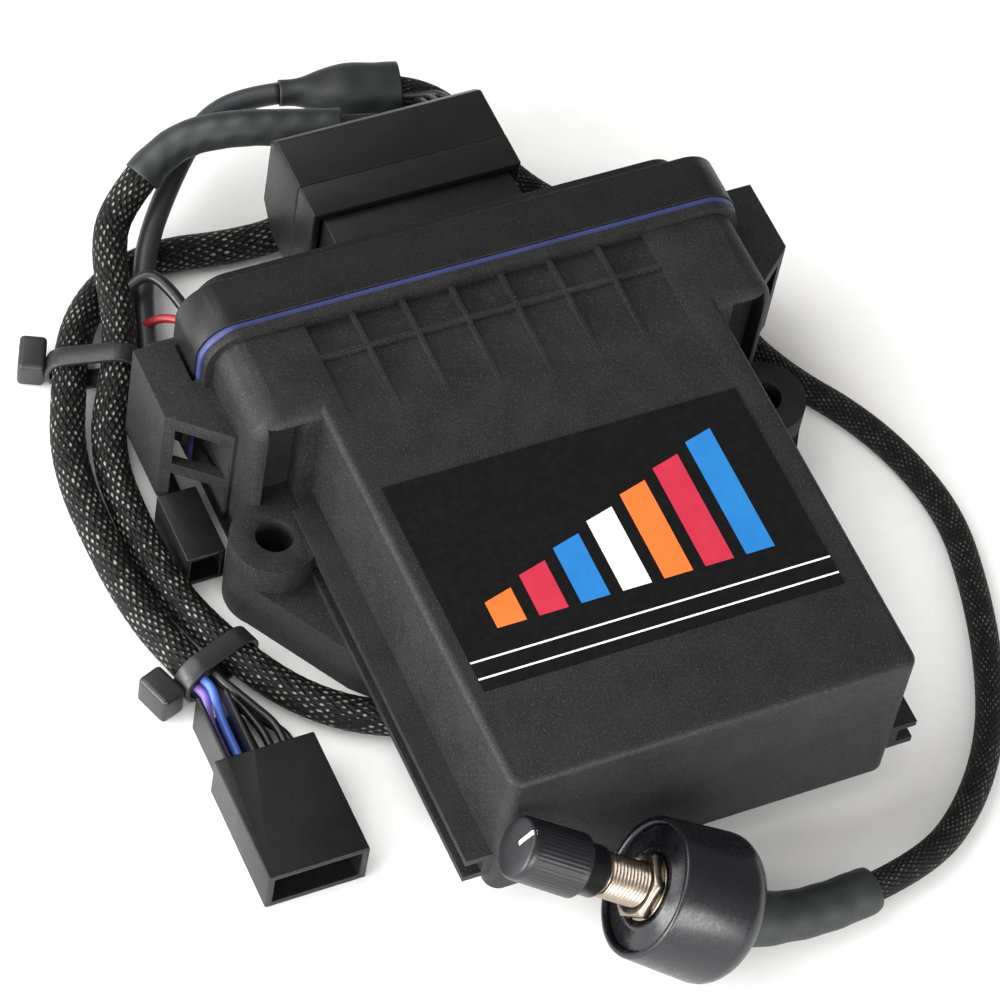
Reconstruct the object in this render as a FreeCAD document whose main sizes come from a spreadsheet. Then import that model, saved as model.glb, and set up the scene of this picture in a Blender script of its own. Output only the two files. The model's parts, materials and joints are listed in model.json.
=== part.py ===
import FreeCAD, Part
import math
import os
import re

import Sketcher

# A boost control module: a moulded housing with two mounting ears, a header that closes its
# mouth, the harness plug on the header, the harness looms with their connectors, and a
# remote dial on its own lead. Lengths are in millimetres.
# The origin lies on the mounting plane, midway between the two ear holes.
# +Z points up from that plane, and +Y points toward the header.

document = FreeCAD.newDocument("BoostControlModule")
sheet = document.addObject("Spreadsheet::Sheet", "Sizes")

SIZES = {
    # Housing
    "housing_wall": 2.5,
    "mouth_plane": 30.4,
    "board_length": 100.0,
    "board_rear_gap": 6.0,
    "board_front_gap": 3.7,
    "box_half_width": 42.0,
    "box_reach": "=board_length + board_front_gap + housing_wall + board_rear_gap - mouth_plane",
    "box_underside": 8.0,
    "housing_top": 44.0,
    "box_corner": 3.0,
    "top_edge_round": 1.6,
    "shoulder_half_width": 55.4,
    "shoulder_front": 7.4,
    "shoulder_corner": 3.5,
    "shoulder_side_round": 6.0,
    "lip_depth": 1.8,
    "lip_inset": 0.8,
    "mouth_corner": 8.0,
    "flange_half_width": 58.0,
    # Mounting ears
    "ear_spacing": 105.6,
    "ear_radius": 8.8,
    "ear_height": 18.6,
    "ear_hole_radius": 3.8,
    "ear_web_height": 12.0,
    "ear_web_reach": 32.0,
    "ear_web_wall": 2.2,
    "ear_pocket_half_width": 3.6,
    "ear_pocket_depth": 4.0,
    "ear_pocket_roof": 2.2,
    # Rails along the narrow box
    "rail_bottom": 12.0,
    "rail_height": 7.0,
    "rail_reach": 5.3,
    "rail_ridge": 1.6,
    "rail_root": 1.6,
    # Latch brackets
    "bracket_gap": 0.9,
    "bracket_reach": 8.1,
    "bracket_half_width": "=flange_half_width + bracket_gap + bracket_reach",
    "bracket_bottom": 6.6,
    "bracket_top": 32.4,
    "bracket_wall": 1.8,
    "bracket_nose": 15.1,
    "bracket_shoulder": 24.1,
    "bracket_rear": 41.0,
    "window_bottom": 18.4,
    "window_height": 10.6,
    "window_sill": 3.1,
    "window_inset": 1.2,
    # Ribs on the shoulder
    "rib_count": 8.0,
    "rib_pitch": 10.5,
    "rib_width": 1.0,
    "rib_field_centre": -1.2,
    "rib_field_depth": 1.5,
    "rib_front": 3.6,
    "cross_rib_place": 20.0,
    # Card guides and board
    "board_underside": 15.0,
    "board_thickness": 1.6,
    "board_gap": 0.3,
    "capacitor_radius": 5.0,
    "capacitor_height": 14.0,
    "capacitor_left": -26.0,
    "capacitor_pitch": 14.0,
    "capacitor_row": 24.0,
    "guide_reach": 1.6,
    "guide_height": 1.5,
    # Label
    "label_centre": -1.2,
    "label_half_width": 37.3,
    "label_front": 60.8,
    "label_length": 48.4,
    "label_thickness": 0.2,
    # Seal and header
    "seal_thickness": 1.5,
    "seal_inset": 0.3,
    "seal_width": 1.6,
    "flange_top": 45.5,
    "flange_depth": 10.6,
    "step_half_width": 52.0,
    "step_bottom": 4.5,
    "step_top": 40.5,
    "step_depth": 5.0,
    "step_corner": 6.0,
    "spigot_depth": 8.0,
    "spigot_wall": 2.0,
    "spigot_gap": 0.3,
    "spigot_corner": 3.5,
    "shroud_half_width": 20.3,
    "shroud_bottom": 13.6,
    "shroud_height": 21.4,
    "shroud_length": 15.0,
    "shroud_wall": 1.5,
    "latch_arm_inner": 60.6,
    "latch_arm_thickness": 1.6,
    "latch_arm_bottom": 19.0,
    "latch_arm_height": 9.2,
    "latch_arm_tip": 25.5,
    "latch_hook": 1.4,
    # Header pins
    "pin_columns": 9.0,
    "pin_pitch": 3.8,
    "pin_width": 0.8,
    "pin_low_row": 20.6,
    "pin_row_gap": 7.0,
    "pin_tip": 56.5,
    "pin_foot_inner": 12.0,
    "pin_foot_step": 6.0,
    # Harness plug
    "plug_half_width": 22.6,
    "plug_bottom": 11.4,
    "plug_height": 25.7,
    "plug_front": 57.4,
    "plug_split": 65.4,
    "plug_rear": 79.8,
    "plug_wall": 1.8,
    "plug_gap": 0.3,
    "plug_corner_share": 0.382,
    "plug_corner": "=(plug_rear - plug_split) * plug_corner_share",
    "plug_length_inside": 18.0,
    "terminal_width": 1.4,
    "terminal_gap": 0.3,
    # Dial pod, measured from the rim plane along its axis
    "pod_heading": 160.0,
    "pod_tilt": 28.0,
    "pod_centre_across": -18.8,
    "pod_clearance": 15.0,
    "pod_centre_along": "=-box_reach - pod_clearance",
    "pod_rim_radius": 13.7,
    "pod_rear_radius": 14.6,
    "pod_taper_length": 15.0,
    "pod_length": 20.0,
    "pod_round": 5.0,
    "pod_wall": 1.4,
    "pod_face_recess": 1.0,
    "pod_face_thickness": 1.6,
    "pot_body_radius": 8.4,
    "pot_body_depth": 7.4,
    "pot_wall": 1.0,
    "shaft_journal_radius": 1.4,
    "track_bore": 2.2,
    "wiper_gap": 0.3,
    "bushing_chamfer": 0.7,
    "knob_edge": 0.8,
    "pointer_inset": 1.0,
    "pointer_stop": 1.4,
    "bushing_radius": 4.4,
    "bushing_length": 12.8,
    "shaft_radius": 3.0,
    "shaft_gap": 0.15,
    "washer_radius": 6.6,
    "washer_thickness": 0.7,
    "nut_across_flats": 12.0,
    "nut_thickness": 2.3,
    "wiper_radius": 5.6,
    "wiper_thickness": 1.0,
    "track_thickness": 0.8,
    "knob_gap": 0.8,
    "knob_collar_radius": 5.0,
    "knob_collar_length": 4.4,
    "knob_radius": 6.15,
    "knob_length": 13.8,
    "pointer_width": 0.9,
    "pointer_thickness": 0.15,
    # Pod boot and looms
    "boot_radius": 5.9,
    "boot_neck_radius": 4.7,
    "boot_cone_end": 4.5,
    "boot_cone_length": 10.0,
    "pod_cord_radius": 2.9,
    "braid_radius": 3.5,
    "smooth_radius": 2.3,
    "jacket_mouth_radius": 6.8,
    "jacket_neck_radius": 3.4,
    "jacket_wall": 0.8,
    "jacket_pocket": 8.8,
    "jacket_bend_radius": 3.8,
    "wire_radius": 0.9,
    "wire_clearance": 0.1,
    # Cable ties
    "tie_width": 4.2,
    "tie_thickness": 1.1,
    "tie_gap": 0.4,
    "tie_head_length": 8.0,
    "tie_head_width": 7.0,
    "tie_head_height": 5.5,
    "tie_head_rise": 0.4,
    # Six-way connector
    "six_way_left": -80.4,
    "six_way_width": 20.4,
    "six_way_rear": -39.2,
    "six_way_length": 27.6,
    "six_way_height": 10.5,
    "six_way_channel": 14.4,
    "six_way_channel_width": 6.6,
    "six_way_wall": 1.4,
    "six_way_channel_wall": 1.0,
    # Three-way connectors
    "three_way_centre": -63.7,
    "three_way_width": 8.2,
    "three_way_front": 6.0,
    "three_way_length": 16.3,
    "three_way_height": 9.0,
    "three_way_wall": 1.1,
    "three_way_mouth": 9.0,
    "far_plug_near": 44.0,
    "far_plug_centre": -50.4,
    "far_plug_length": 13.0,
    "far_plug_width": 10.4,
    "far_plug_height": 8.6,
}


def fill_sheet():
    for row, (name, amount) in enumerate(SIZES.items(), start=1):
        sheet.set(f"A{row}", name)
        sheet.set(f"B{row}", str(amount))
        sheet.setAlias(f"B{row}", name)
    document.recompute()


def size(name):
    return float(sheet.get(name))


def bound(formula):
    """Turn a formula of size names into one that reads the sheet."""
    return re.sub(r"[a-z_]{3,}", lambda word: "Sizes." + word.group(0), formula)


def worth(formula):
    """Let a spare cell of the sheet work a formula out."""
    sheet.set("D1", "=" + formula)
    sheet.recompute()
    return float(sheet.get("D1"))


# Sketches and features


def new_body(label):
    body = document.addObject("PartDesign::Body", label)
    body.Label = label
    return body


def plane_of(body, role):
    return next(plane for plane in body.Origin.OriginFeatures if plane.Role == role)


def new_sketch(body, role, name, offset="0"):
    sketch = body.newObject("Sketcher::SketchObject", name)
    sketch.AttachmentSupport = [(plane_of(body, role), "")]
    sketch.MapMode = "FlatFace"
    sketch.setExpression("AttachmentOffset.Base.z", bound(offset))
    return sketch


def hold_point(sketch, element, corner, place):
    for direction, formula in zip(("DistanceX", "DistanceY"), place):
        current = sketch.getPoint(element, corner)
        amount = current.x if direction == "DistanceX" else current.y
        index = sketch.addConstraint(Sketcher.Constraint(direction, element, corner, amount))
        sketch.setExpression(f"Constraints[{index}]", bound(formula))


def add_outline(sketch, corners):
    """Add a closed outline of straight sides, each corner at its own formulas."""
    first = sketch.GeometryCount
    count = len(corners)
    start_size = 7.0
    turns = [2 * math.pi * (place + 0.3) / count for place in range(count)]
    ring = [FreeCAD.Vector(start_size * math.cos(turn), start_size * math.sin(turn), 0) for turn in turns]
    for place in range(count):
        sketch.addGeometry(Part.LineSegment(ring[place], ring[(place + 1) % count]))
    for place in range(count):
        following = first + (place + 1) % count
        sketch.addConstraint(Sketcher.Constraint("Coincident", first + place, 2, following, 1))
    for place, corner in enumerate(corners):
        hold_point(sketch, first + place, 1, corner)


def add_rectangle(sketch, left, right, low, high):
    add_outline(sketch, [(left, low), (right, low), (right, high), (left, high)])


def add_rounded_rectangle(sketch, left, right, low, high, radius):
    """Draw the sides and corner arcs in place, then tie them together."""
    first = sketch.GeometryCount
    x_low, x_high, y_low, y_high, bend = (worth(formula) for formula in (left, right, low, high, radius))
    centres = [(x_low + bend, y_low + bend), (x_high - bend, y_low + bend),
               (x_high - bend, y_high - bend), (x_low + bend, y_high - bend)]
    sides = [((x_low + bend, y_low), (x_high - bend, y_low)), ((x_high, y_low + bend), (x_high, y_high - bend)),
             ((x_high - bend, y_high), (x_low + bend, y_high)), ((x_low, y_high - bend), (x_low, y_low + bend))]
    for start, end in sides:
        sketch.addGeometry(Part.LineSegment(FreeCAD.Vector(*start, 0), FreeCAD.Vector(*end, 0)))
    for place, centre in enumerate(centres):
        circle = Part.Circle(FreeCAD.Vector(*centre, 0), FreeCAD.Vector(0, 0, 1), bend)
        begin = math.pi + place * math.pi / 2
        sketch.addGeometry(Part.ArcOfCircle(circle, begin, begin + math.pi / 2))
    for place in range(4):
        arc = first + 4 + place
        sketch.addConstraint(Sketcher.Constraint("Tangent", first + (place - 1) % 4, 2, arc, 1))
        sketch.addConstraint(Sketcher.Constraint("Tangent", arc, 2, first + place, 1))
        sketch.addConstraint(Sketcher.Constraint("Horizontal" if place % 2 == 0 else "Vertical", first + place))
    for place in (1, 2, 3):
        sketch.addConstraint(Sketcher.Constraint("Equal", first + 4, first + 4 + place))
    holds = [("Radius", (first + 4, bend), radius), ("DistanceY", (first, 1, y_low), low),
             ("DistanceY", (first + 2, 1, y_high), high), ("DistanceX", (first + 1, 1, x_high), right),
             ("DistanceX", (first + 3, 1, x_low), left)]
    for kind, parts, formula in holds:
        index = sketch.addConstraint(Sketcher.Constraint(kind, *parts))
        sketch.setExpression(f"Constraints[{index}]", bound(formula))


def add_circle(sketch, across, up, radius):
    start = FreeCAD.Vector(1.0, 2.0, 0)
    element = sketch.addGeometry(Part.Circle(start, FreeCAD.Vector(0, 0, 1), 1.0))
    hold_point(sketch, element, 3, (across, up))
    index = sketch.addConstraint(Sketcher.Constraint("Radius", element, 1.0))
    sketch.setExpression(f"Constraints[{index}]", bound(radius))


def feature_from(body, kind, sketch, length, backwards=False):
    feature = body.newObject("PartDesign::" + kind, sketch.Name + "_" + kind.lower())
    feature.Profile = sketch
    feature.setExpression("Length", bound(length))
    feature.Reversed = backwards
    body.Tip = feature
    document.recompute()
    return feature


def revolve(body, sketch):
    feature = body.newObject("PartDesign::Revolution", sketch.Name + "_turned")
    feature.Profile = sketch
    feature.ReferenceAxis = (sketch, ["V_Axis"])
    feature.Angle = 360.0
    body.Tip = feature
    document.recompute()
    return feature


def edges_where(shape, test):
    """Name the straight edges that the test accepts by their middle and direction."""
    chosen = []
    for place, edge in enumerate(shape.Edges, start=1):
        if not isinstance(edge.Curve, (Part.Line, Part.LineSegment)):
            continue
        start, end = edge.Vertexes[0].Point, edge.Vertexes[-1].Point
        run = end - start
        if run.Length > 0 and test((start + end) * 0.5, run.normalize()):
            chosen.append(f"Edge{place}")
    return chosen


def round_edges(body, radius, test):
    base = body.Tip
    edges = edges_where(base.Shape, test)
    feature = body.newObject("PartDesign::Fillet", body.Name + "_round")
    feature.Base = (base, edges)
    feature.setExpression("Radius", bound(radius))
    body.Tip = feature
    document.recompute()
    return feature


def chamfer_edges(body, amount, test):
    base = body.Tip
    edges = edges_where(base.Shape, test)
    feature = body.newObject("PartDesign::Chamfer", body.Name + "_chamfer")
    feature.Base = (base, edges)
    feature.setExpression("Size", bound(amount))
    body.Tip = feature
    document.recompute()
    return feature


def repeat_along(body, feature, role, length, count):
    pattern = body.newObject("PartDesign::LinearPattern", feature.Name + "_row")
    pattern.Originals = [feature]
    axis = next(part for part in body.Origin.OriginFeatures if part.Role == role)
    pattern.Direction = (axis, [""])
    pattern.setExpression("Length", bound(length))
    pattern.setExpression("Occurrences", bound(count))
    body.Tip = pattern
    document.recompute()
    return pattern


def near(first, second):
    return abs(first - second) < 0.01


def block(label, low, spans):
    """Make a plain box from the formulas of its low corner and its three lengths."""
    box = document.addObject("Part::Box", label)
    box.Label = label
    for name, formula in zip(("Length", "Width", "Height"), spans):
        box.setExpression(name, bound(formula))
    for axis, formula in zip("xyz", low):
        box.setExpression("Placement.Base." + axis, bound(formula))
    return box


def group(label, pieces):
    gathered = document.addObject("Part::Compound", label)
    gathered.Label = label
    gathered.Links = pieces
    return gathered


def finished(label, shape, placement=None):
    piece = document.addObject("Part::Feature", label)
    piece.Label = label
    piece.Shape = shape
    if placement is not None:
        piece.Placement = placement
    return piece


# Tubes made of straight runs and tangent arcs

ARC_SHARE = 0.45


def tube(points, radius, report=None):
    """Sweep a round section along the runs between the points, with arcs at the turns."""
    places = [FreeCAD.Vector(*point) for point in points]
    edges = []
    radii = []
    start = places[0]
    for before, corner, after in zip(places, places[1:], places[2:]):
        back = before - corner
        ahead = after - corner
        turn = math.pi - back.getAngle(ahead)
        cut = ARC_SHARE * min(back.Length, ahead.Length)
        radii.append(cut / math.tan(turn / 2))
        enter = corner + FreeCAD.Vector(back).normalize() * cut
        leave = corner + FreeCAD.Vector(ahead).normalize() * cut
        inward = (FreeCAD.Vector(back).normalize() + FreeCAD.Vector(ahead).normalize()).normalize()
        sagitta = radii[-1] / math.cos(turn / 2) - radii[-1]
        middle = corner + inward * sagitta
        edges.append(Part.LineSegment(start, enter).toShape())
        edges.append(Part.Arc(enter, middle, leave).toShape())
        start = leave
    edges.append(Part.LineSegment(start, places[-1]).toShape())
    path = Part.Wire(edges)
    heading = places[1] - places[0]
    section = Part.Wire(Part.Circle(places[0], heading, radius).toShape())
    swept = path.makePipeShell([section], True, True)
    if report:
        expected = math.pi * radius ** 2 * path.Length
        runs = [(second - first).Length for first, second in zip(places, places[1:])]
        print(f"{report}: length {path.Length:.1f}, smallest radius {min(radii):.1f}, "
              f"runs {min(runs):.1f} to {max(runs):.1f}, volume ratio {swept.Volume / expected:.4f}")
    return swept


# Housing


def make_enclosure():
    body = new_body("enclosure_shell")
    outline = new_sketch(body, "XY_Plane", "box_outline", "box_underside")
    add_rectangle(outline, "-box_half_width", "box_half_width", "-box_reach", "shoulder_front + housing_wall")
    feature_from(body, "Pad", outline, "housing_top - box_underside")
    shoulder = new_sketch(body, "XY_Plane", "shoulder_outline")
    add_rectangle(shoulder, "-shoulder_half_width", "shoulder_half_width", "shoulder_front", "mouth_plane")
    feature_from(body, "Pad", shoulder, "housing_top")
    round_edges(body, "box_corner", lambda middle, run: near(abs(run.z), 1) and middle.y < 0)
    round_edges(body, "shoulder_side_round", lambda middle, run: near(abs(run.y), 1)
                and near(middle.z, size("housing_top")) and near(abs(middle.x), size("shoulder_half_width")))
    round_edges(body, "shoulder_corner", lambda middle, run: near(abs(run.z), 1)
                and near(middle.y, size("shoulder_front")) and abs(middle.x) > size("box_half_width") + 1)
    round_edges(body, "top_edge_round", lambda middle, run: near(middle.z, size("housing_top")) and middle.y < 0)
    add_lip(body)
    add_ears(body)
    add_rails(body)
    add_brackets(body)
    hollow_housing(body)
    cut_rib_field(body)
    cut_ear_pockets(body)
    return body


def add_lip(body):
    lip = new_sketch(body, "XZ_Plane", "lip_outline", "-mouth_plane")
    add_rounded_rectangle(lip, "-flange_half_width + lip_inset", "flange_half_width - lip_inset", "0",
                          "flange_top", "mouth_corner")
    feature_from(body, "Pad", lip, "lip_depth")


def add_ears(body):
    boss = new_sketch(body, "XY_Plane", "ear_boss")
    web = new_sketch(body, "XY_Plane", "ear_web")
    for side in ("-", ""):
        add_circle(boss, f"{side}ear_spacing / 2", "0", "ear_radius")
        add_outline(web, [
            (f"{side}(box_half_width - 1)", "-ear_web_reach"),
            (f"{side}(box_half_width + 4.5)", "-ear_web_reach + 5.5"),
            (f"{side}(box_half_width + 10)", "-ear_radius * 2"),
            (f"{side}(ear_spacing / 2 + ear_radius * 0.75)", "-ear_radius * 0.66"),
            (f"{side}(shoulder_half_width)", "shoulder_front + 1"),
            (f"{side}(box_half_width - 1)", "shoulder_front + 1"),
        ])
    feature_from(body, "Pad", web, "ear_web_height")
    feature_from(body, "Pad", boss, "ear_height")
    root = new_sketch(body, "XY_Plane", "ear_root")
    hollow = new_sketch(body, "XY_Plane", "ear_web_hollow")
    for side in ("-", ""):
        add_rectangle(root, f"{side}(box_half_width - 1)", f"{side}(ear_spacing / 2)", "-ear_radius * 0.7",
                      "shoulder_front + 1")
        add_outline(hollow, [
            (f"{side}(box_half_width + 0.6)", "-ear_web_reach + 5"),
            (f"{side}(box_half_width + 7.5)", "-ear_radius * 2 + 0.4"),
            (f"{side}(box_half_width + 9.5)", "-ear_radius - 2.6"),
            (f"{side}(box_half_width + 0.6)", "-ear_radius - 2.6"),
        ])
    feature_from(body, "Pad", root, "ear_height")
    feature_from(body, "Pocket", hollow, "ear_web_height - ear_web_wall", backwards=True)
    holes = new_sketch(body, "XY_Plane", "ear_holes")
    for side in ("-", ""):
        add_circle(holes, f"{side}ear_spacing / 2", "0", "ear_hole_radius")
    feature_from(body, "Pocket", holes, "ear_height + 1", backwards=True)


def add_rails(body):
    rails = new_sketch(body, "XZ_Plane", "rail_profile", "-shoulder_front")
    for side in ("-", ""):
        add_outline(rails, [
            (f"{side}(box_half_width - 1)", "rail_bottom"),
            (f"{side}(box_half_width + rail_reach)", "rail_bottom"),
            (f"{side}(box_half_width + rail_reach)", "rail_bottom + rail_ridge"),
            (f"{side}(box_half_width + rail_root)", "rail_bottom + rail_ridge"),
            (f"{side}(box_half_width + rail_root)", "rail_bottom + rail_height - rail_ridge"),
            (f"{side}(box_half_width + rail_reach)", "rail_bottom + rail_height - rail_ridge"),
            (f"{side}(box_half_width + rail_reach)", "rail_bottom + rail_height"),
            (f"{side}(box_half_width - 1)", "rail_bottom + rail_height"),
        ])
    feature_from(body, "Pad", rails, "box_reach + shoulder_front - 1.7")


def add_brackets(body):
    outer = new_sketch(body, "XY_Plane", "bracket_outline", "bracket_bottom")
    inner = new_sketch(body, "XY_Plane", "bracket_inside", "bracket_bottom")
    side_gap = "flange_half_width + bracket_gap"
    for side in ("-", ""):
        add_outline(outer, [
            (f"{side}(shoulder_half_width - 1)", "bracket_nose"),
            (f"{side}(shoulder_half_width + 0.7)", "bracket_nose"),
            (f"{side}bracket_half_width", "bracket_shoulder"),
            (f"{side}bracket_half_width", "bracket_rear"),
            (f"{side}({side_gap})", "bracket_rear"),
            (f"{side}({side_gap})", "mouth_plane"),
            (f"{side}(shoulder_half_width - 1)", "mouth_plane"),
        ])
        add_outline(inner, [
            (f"{side}(shoulder_half_width + 1.6)", "bracket_nose + bracket_wall + 2"),
            (f"{side}(bracket_half_width - bracket_wall)", "bracket_shoulder + 1"),
            (f"{side}(bracket_half_width - bracket_wall)", "bracket_rear + 1"),
            (f"{side}({side_gap} - 0.5)", "bracket_rear + 1"),
            (f"{side}({side_gap} - 0.5)", "mouth_plane + 0.5"),
            (f"{side}(shoulder_half_width + 1.6)", "mouth_plane + 0.5"),
        ])
    feature_from(body, "Pad", outer, "bracket_top - bracket_bottom")
    feature_from(body, "Pocket", inner, "bracket_top - bracket_bottom - bracket_wall", backwards=True)
    window = new_sketch(body, "XZ_Plane", "bracket_window", "-bracket_nose + 4")
    for side in ("-", ""):
        left = f"{side}(shoulder_half_width + window_inset)"
        right = f"{side}(bracket_half_width - bracket_wall)"
        add_rectangle(window, left, right, "window_bottom", "window_bottom + window_height")
        add_rectangle(window, left, right, "bracket_bottom - 1", "window_bottom - window_sill")
    feature_from(body, "Pocket", window, "bracket_shoulder - bracket_nose + 5")


def hollow_housing(body):
    shoulder_room = new_sketch(body, "XZ_Plane", "shoulder_room", "-mouth_plane")
    add_rectangle(shoulder_room, "-shoulder_half_width + housing_wall", "shoulder_half_width - housing_wall",
                  "housing_wall", "housing_top - housing_wall - rib_field_depth")
    feature_from(body, "Pocket", shoulder_room,
                 "mouth_plane - shoulder_front - ear_pocket_depth - housing_wall", backwards=True)
    box_room = new_sketch(body, "XZ_Plane", "box_room", "-mouth_plane")
    add_rectangle(box_room, "-box_half_width + housing_wall", "box_half_width - housing_wall",
                  "box_underside + housing_wall", "housing_top - housing_wall")
    feature_from(body, "Pocket", box_room, "mouth_plane + box_reach - housing_wall", backwards=True)
    guides = new_sketch(body, "XZ_Plane", "card_guides")
    for side in ("-", ""):
        left = f"{side}(box_half_width - housing_wall + 0.5)"
        right = f"{side}(box_half_width - housing_wall - guide_reach)"
        add_rectangle(guides, left, right, "board_underside - guide_height", "board_underside")
        above = "board_underside + board_thickness + board_gap"
        add_rectangle(guides, left, right, above, above + " + guide_height")
    feature_from(body, "Pad", guides, "box_reach - housing_wall")


def cut_rib_field(body):
    field = new_sketch(body, "YZ_Plane", "rib_field",
                       "rib_field_centre - rib_pitch * (rib_count - 1) / 2 + rib_width / 2")
    lip = "mouth_plane - lip_depth"
    slope = f"rib_field_depth / ({lip} - rib_front)"
    for front, rear in (("rib_front", "cross_rib_place - rib_width / 2"), ("cross_rib_place + rib_width / 2", lip)):
        add_outline(field, [
            (front, f"housing_top - ({front} - rib_front) * {slope}"),
            (rear, f"housing_top - ({rear} - rib_front) * {slope}"),
            (rear, "housing_top + 1"),
            (front, "housing_top + 1"),
        ])
    panel = feature_from(body, "Pocket", field, "rib_pitch - rib_width", backwards=True)
    repeat_along(body, panel, "X_Axis", "rib_pitch * (rib_count - 2)", "rib_count - 1")


def cut_ear_pockets(body):
    pockets = new_sketch(body, "XY_Plane", "ear_pockets", "ear_height")
    for side in ("-", ""):
        centre = f"{side}(ear_spacing / 2 - 3.6)"
        add_rectangle(pockets, centre + " - ear_pocket_half_width", centre + " + ear_pocket_half_width",
                      "shoulder_front - 3", "shoulder_front + ear_pocket_depth")
    feature_from(body, "Pocket", pockets, "housing_top - ear_height - ear_pocket_roof", backwards=True)


# Seal, header and its pins


def make_seal():
    body = new_body("perimeter_seal")
    ring = new_sketch(body, "XZ_Plane", "seal_outline", "-mouth_plane - seal_thickness")
    edge = "seal_inset"
    inner = "seal_inset + seal_width"
    for margin, bend in ((edge, "mouth_corner - seal_inset"), (inner, "mouth_corner - seal_inset - seal_width")):
        add_rounded_rectangle(ring, f"-flange_half_width + {margin}", f"flange_half_width - ({margin})",
                              margin, f"flange_top - ({margin})", bend)
    feature_from(body, "Pad", ring, "seal_thickness")
    return body


def make_header():
    body = new_body("header")
    flange_start = "mouth_plane + seal_thickness"
    flange_end = flange_start + " + flange_depth"
    flange = new_sketch(body, "XZ_Plane", "flange_outline", f"-({flange_end})")
    add_rounded_rectangle(flange, "-flange_half_width", "flange_half_width", "0", "flange_top", "mouth_corner")
    feature_from(body, "Pad", flange, "flange_depth")
    step = new_sketch(body, "XZ_Plane", "step_outline", f"-({flange_end} + step_depth)")
    add_rounded_rectangle(step, "-step_half_width", "step_half_width", "step_bottom", "step_top", "step_corner")
    feature_from(body, "Pad", step, "step_depth")
    shroud = new_sketch(body, "XZ_Plane", "shroud_outline", f"-({flange_end} + step_depth + shroud_length)")
    add_rectangle(shroud, "-shroud_half_width", "shroud_half_width",
                  "shroud_bottom", "shroud_bottom + shroud_height")
    feature_from(body, "Pad", shroud, "shroud_length")
    spigot = new_sketch(body, "XZ_Plane", "spigot_outline", f"-({flange_start})")
    add_rounded_rectangle(spigot, "-shoulder_half_width + housing_wall + spigot_gap",
                          "shoulder_half_width - housing_wall - spigot_gap", "housing_wall + spigot_gap",
                          "housing_top - housing_wall - rib_field_depth - spigot_gap", "spigot_corner")
    feature_from(body, "Pad", spigot, "spigot_depth")
    inside = new_sketch(body, "XZ_Plane", "spigot_inside", f"-({flange_start} + flange_depth - 2)")
    add_rectangle(inside, "-shoulder_half_width + housing_wall + spigot_gap + spigot_wall",
                  "shoulder_half_width - housing_wall - spigot_gap - spigot_wall",
                  "housing_wall + spigot_gap + spigot_wall",
                  "housing_top - housing_wall - rib_field_depth - spigot_gap - spigot_wall")
    feature_from(body, "Pocket", inside, "spigot_depth + flange_depth", backwards=True)
    socket = new_sketch(body, "XZ_Plane", "shroud_inside", f"-({flange_end} + step_depth + shroud_length)")
    add_rectangle(socket, "-shroud_half_width + shroud_wall", "shroud_half_width - shroud_wall",
                  "shroud_bottom + shroud_wall", "shroud_bottom + shroud_height - shroud_wall")
    feature_from(body, "Pocket", socket, "shroud_length", backwards=True)
    add_pin_holes(body, f"-({flange_end} + step_depth)", "step_depth + 3", "pin_width", backwards=True)
    add_latch_arms(body, flange_end)
    return body


def add_pin_holes(body, offset, depth, width, backwards):
    holes = new_sketch(body, "XZ_Plane", body.Name + "_pin_holes", offset)
    centre = "-pin_pitch * (pin_columns - 1) / 2"
    for row in ("pin_low_row", "pin_low_row + pin_row_gap"):
        middle = f"{row} + pin_width / 2"
        add_rectangle(holes, f"{centre} - {width} / 2", f"{centre} + {width} / 2",
                      f"{middle} - {width} / 2", f"{middle} + {width} / 2")
    first = feature_from(body, "Pocket", holes, depth, backwards)
    repeat_along(body, first, "X_Axis", "pin_pitch * (pin_columns - 1)", "pin_columns")


def add_latch_arms(body, flange_end):
    arms = new_sketch(body, "XY_Plane", "latch_arms", "latch_arm_bottom")
    for side in ("-", ""):
        outer = f"{side}(latch_arm_inner + latch_arm_thickness)"
        inner = f"{side}latch_arm_inner"
        add_outline(arms, [
            (f"{side}(step_half_width - 1)", flange_end),
            (inner, flange_end),
            (inner, "latch_arm_tip"),
            (outer, "latch_arm_tip"),
            (outer, "latch_arm_tip + 1"),
            (f"{side}(latch_arm_inner + latch_arm_thickness + latch_hook)", "latch_arm_tip + 3"),
            (outer, "latch_arm_tip + 3"),
            (outer, f"{flange_end} + 2"),
            (f"{side}(step_half_width - 1)", f"{flange_end} + 2"),
        ])
    feature_from(body, "Pad", arms, "latch_arm_height")


def make_header_pins():
    """Bend each pin from the shroud through the header down to the board's top."""
    columns = int(size("pin_columns"))
    width = size("pin_width")
    tip = size("pin_tip")
    top_of_board = size("board_underside") + size("board_thickness")
    pins = []
    terminals = []
    for row in range(2):
        level = size("pin_low_row") + row * size("pin_row_gap")
        foot = size("pin_foot_inner") - row * size("pin_foot_step")
        for column in range(columns):
            across = (column - (columns - 1) / 2) * size("pin_pitch") - width / 2
            bar = Part.makeBox(width, tip - foot, width, FreeCAD.Vector(across, foot, level))
            leg = Part.makeBox(width, width, level - top_of_board, FreeCAD.Vector(across, foot, top_of_board))
            pins.append(bar.fuse(leg).removeSplitter())
            spare = (size("terminal_width") - width) / 2
            corner = FreeCAD.Vector(across - spare, tip + size("terminal_gap"), level - spare)
            terminals.append(Part.makeBox(size("terminal_width"), size("plug_split") - corner.y,
                                          size("terminal_width"), corner))
    finished("header_pins", Part.makeCompound(pins))
    finished("plug_terminals", Part.makeCompound(terminals))


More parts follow.
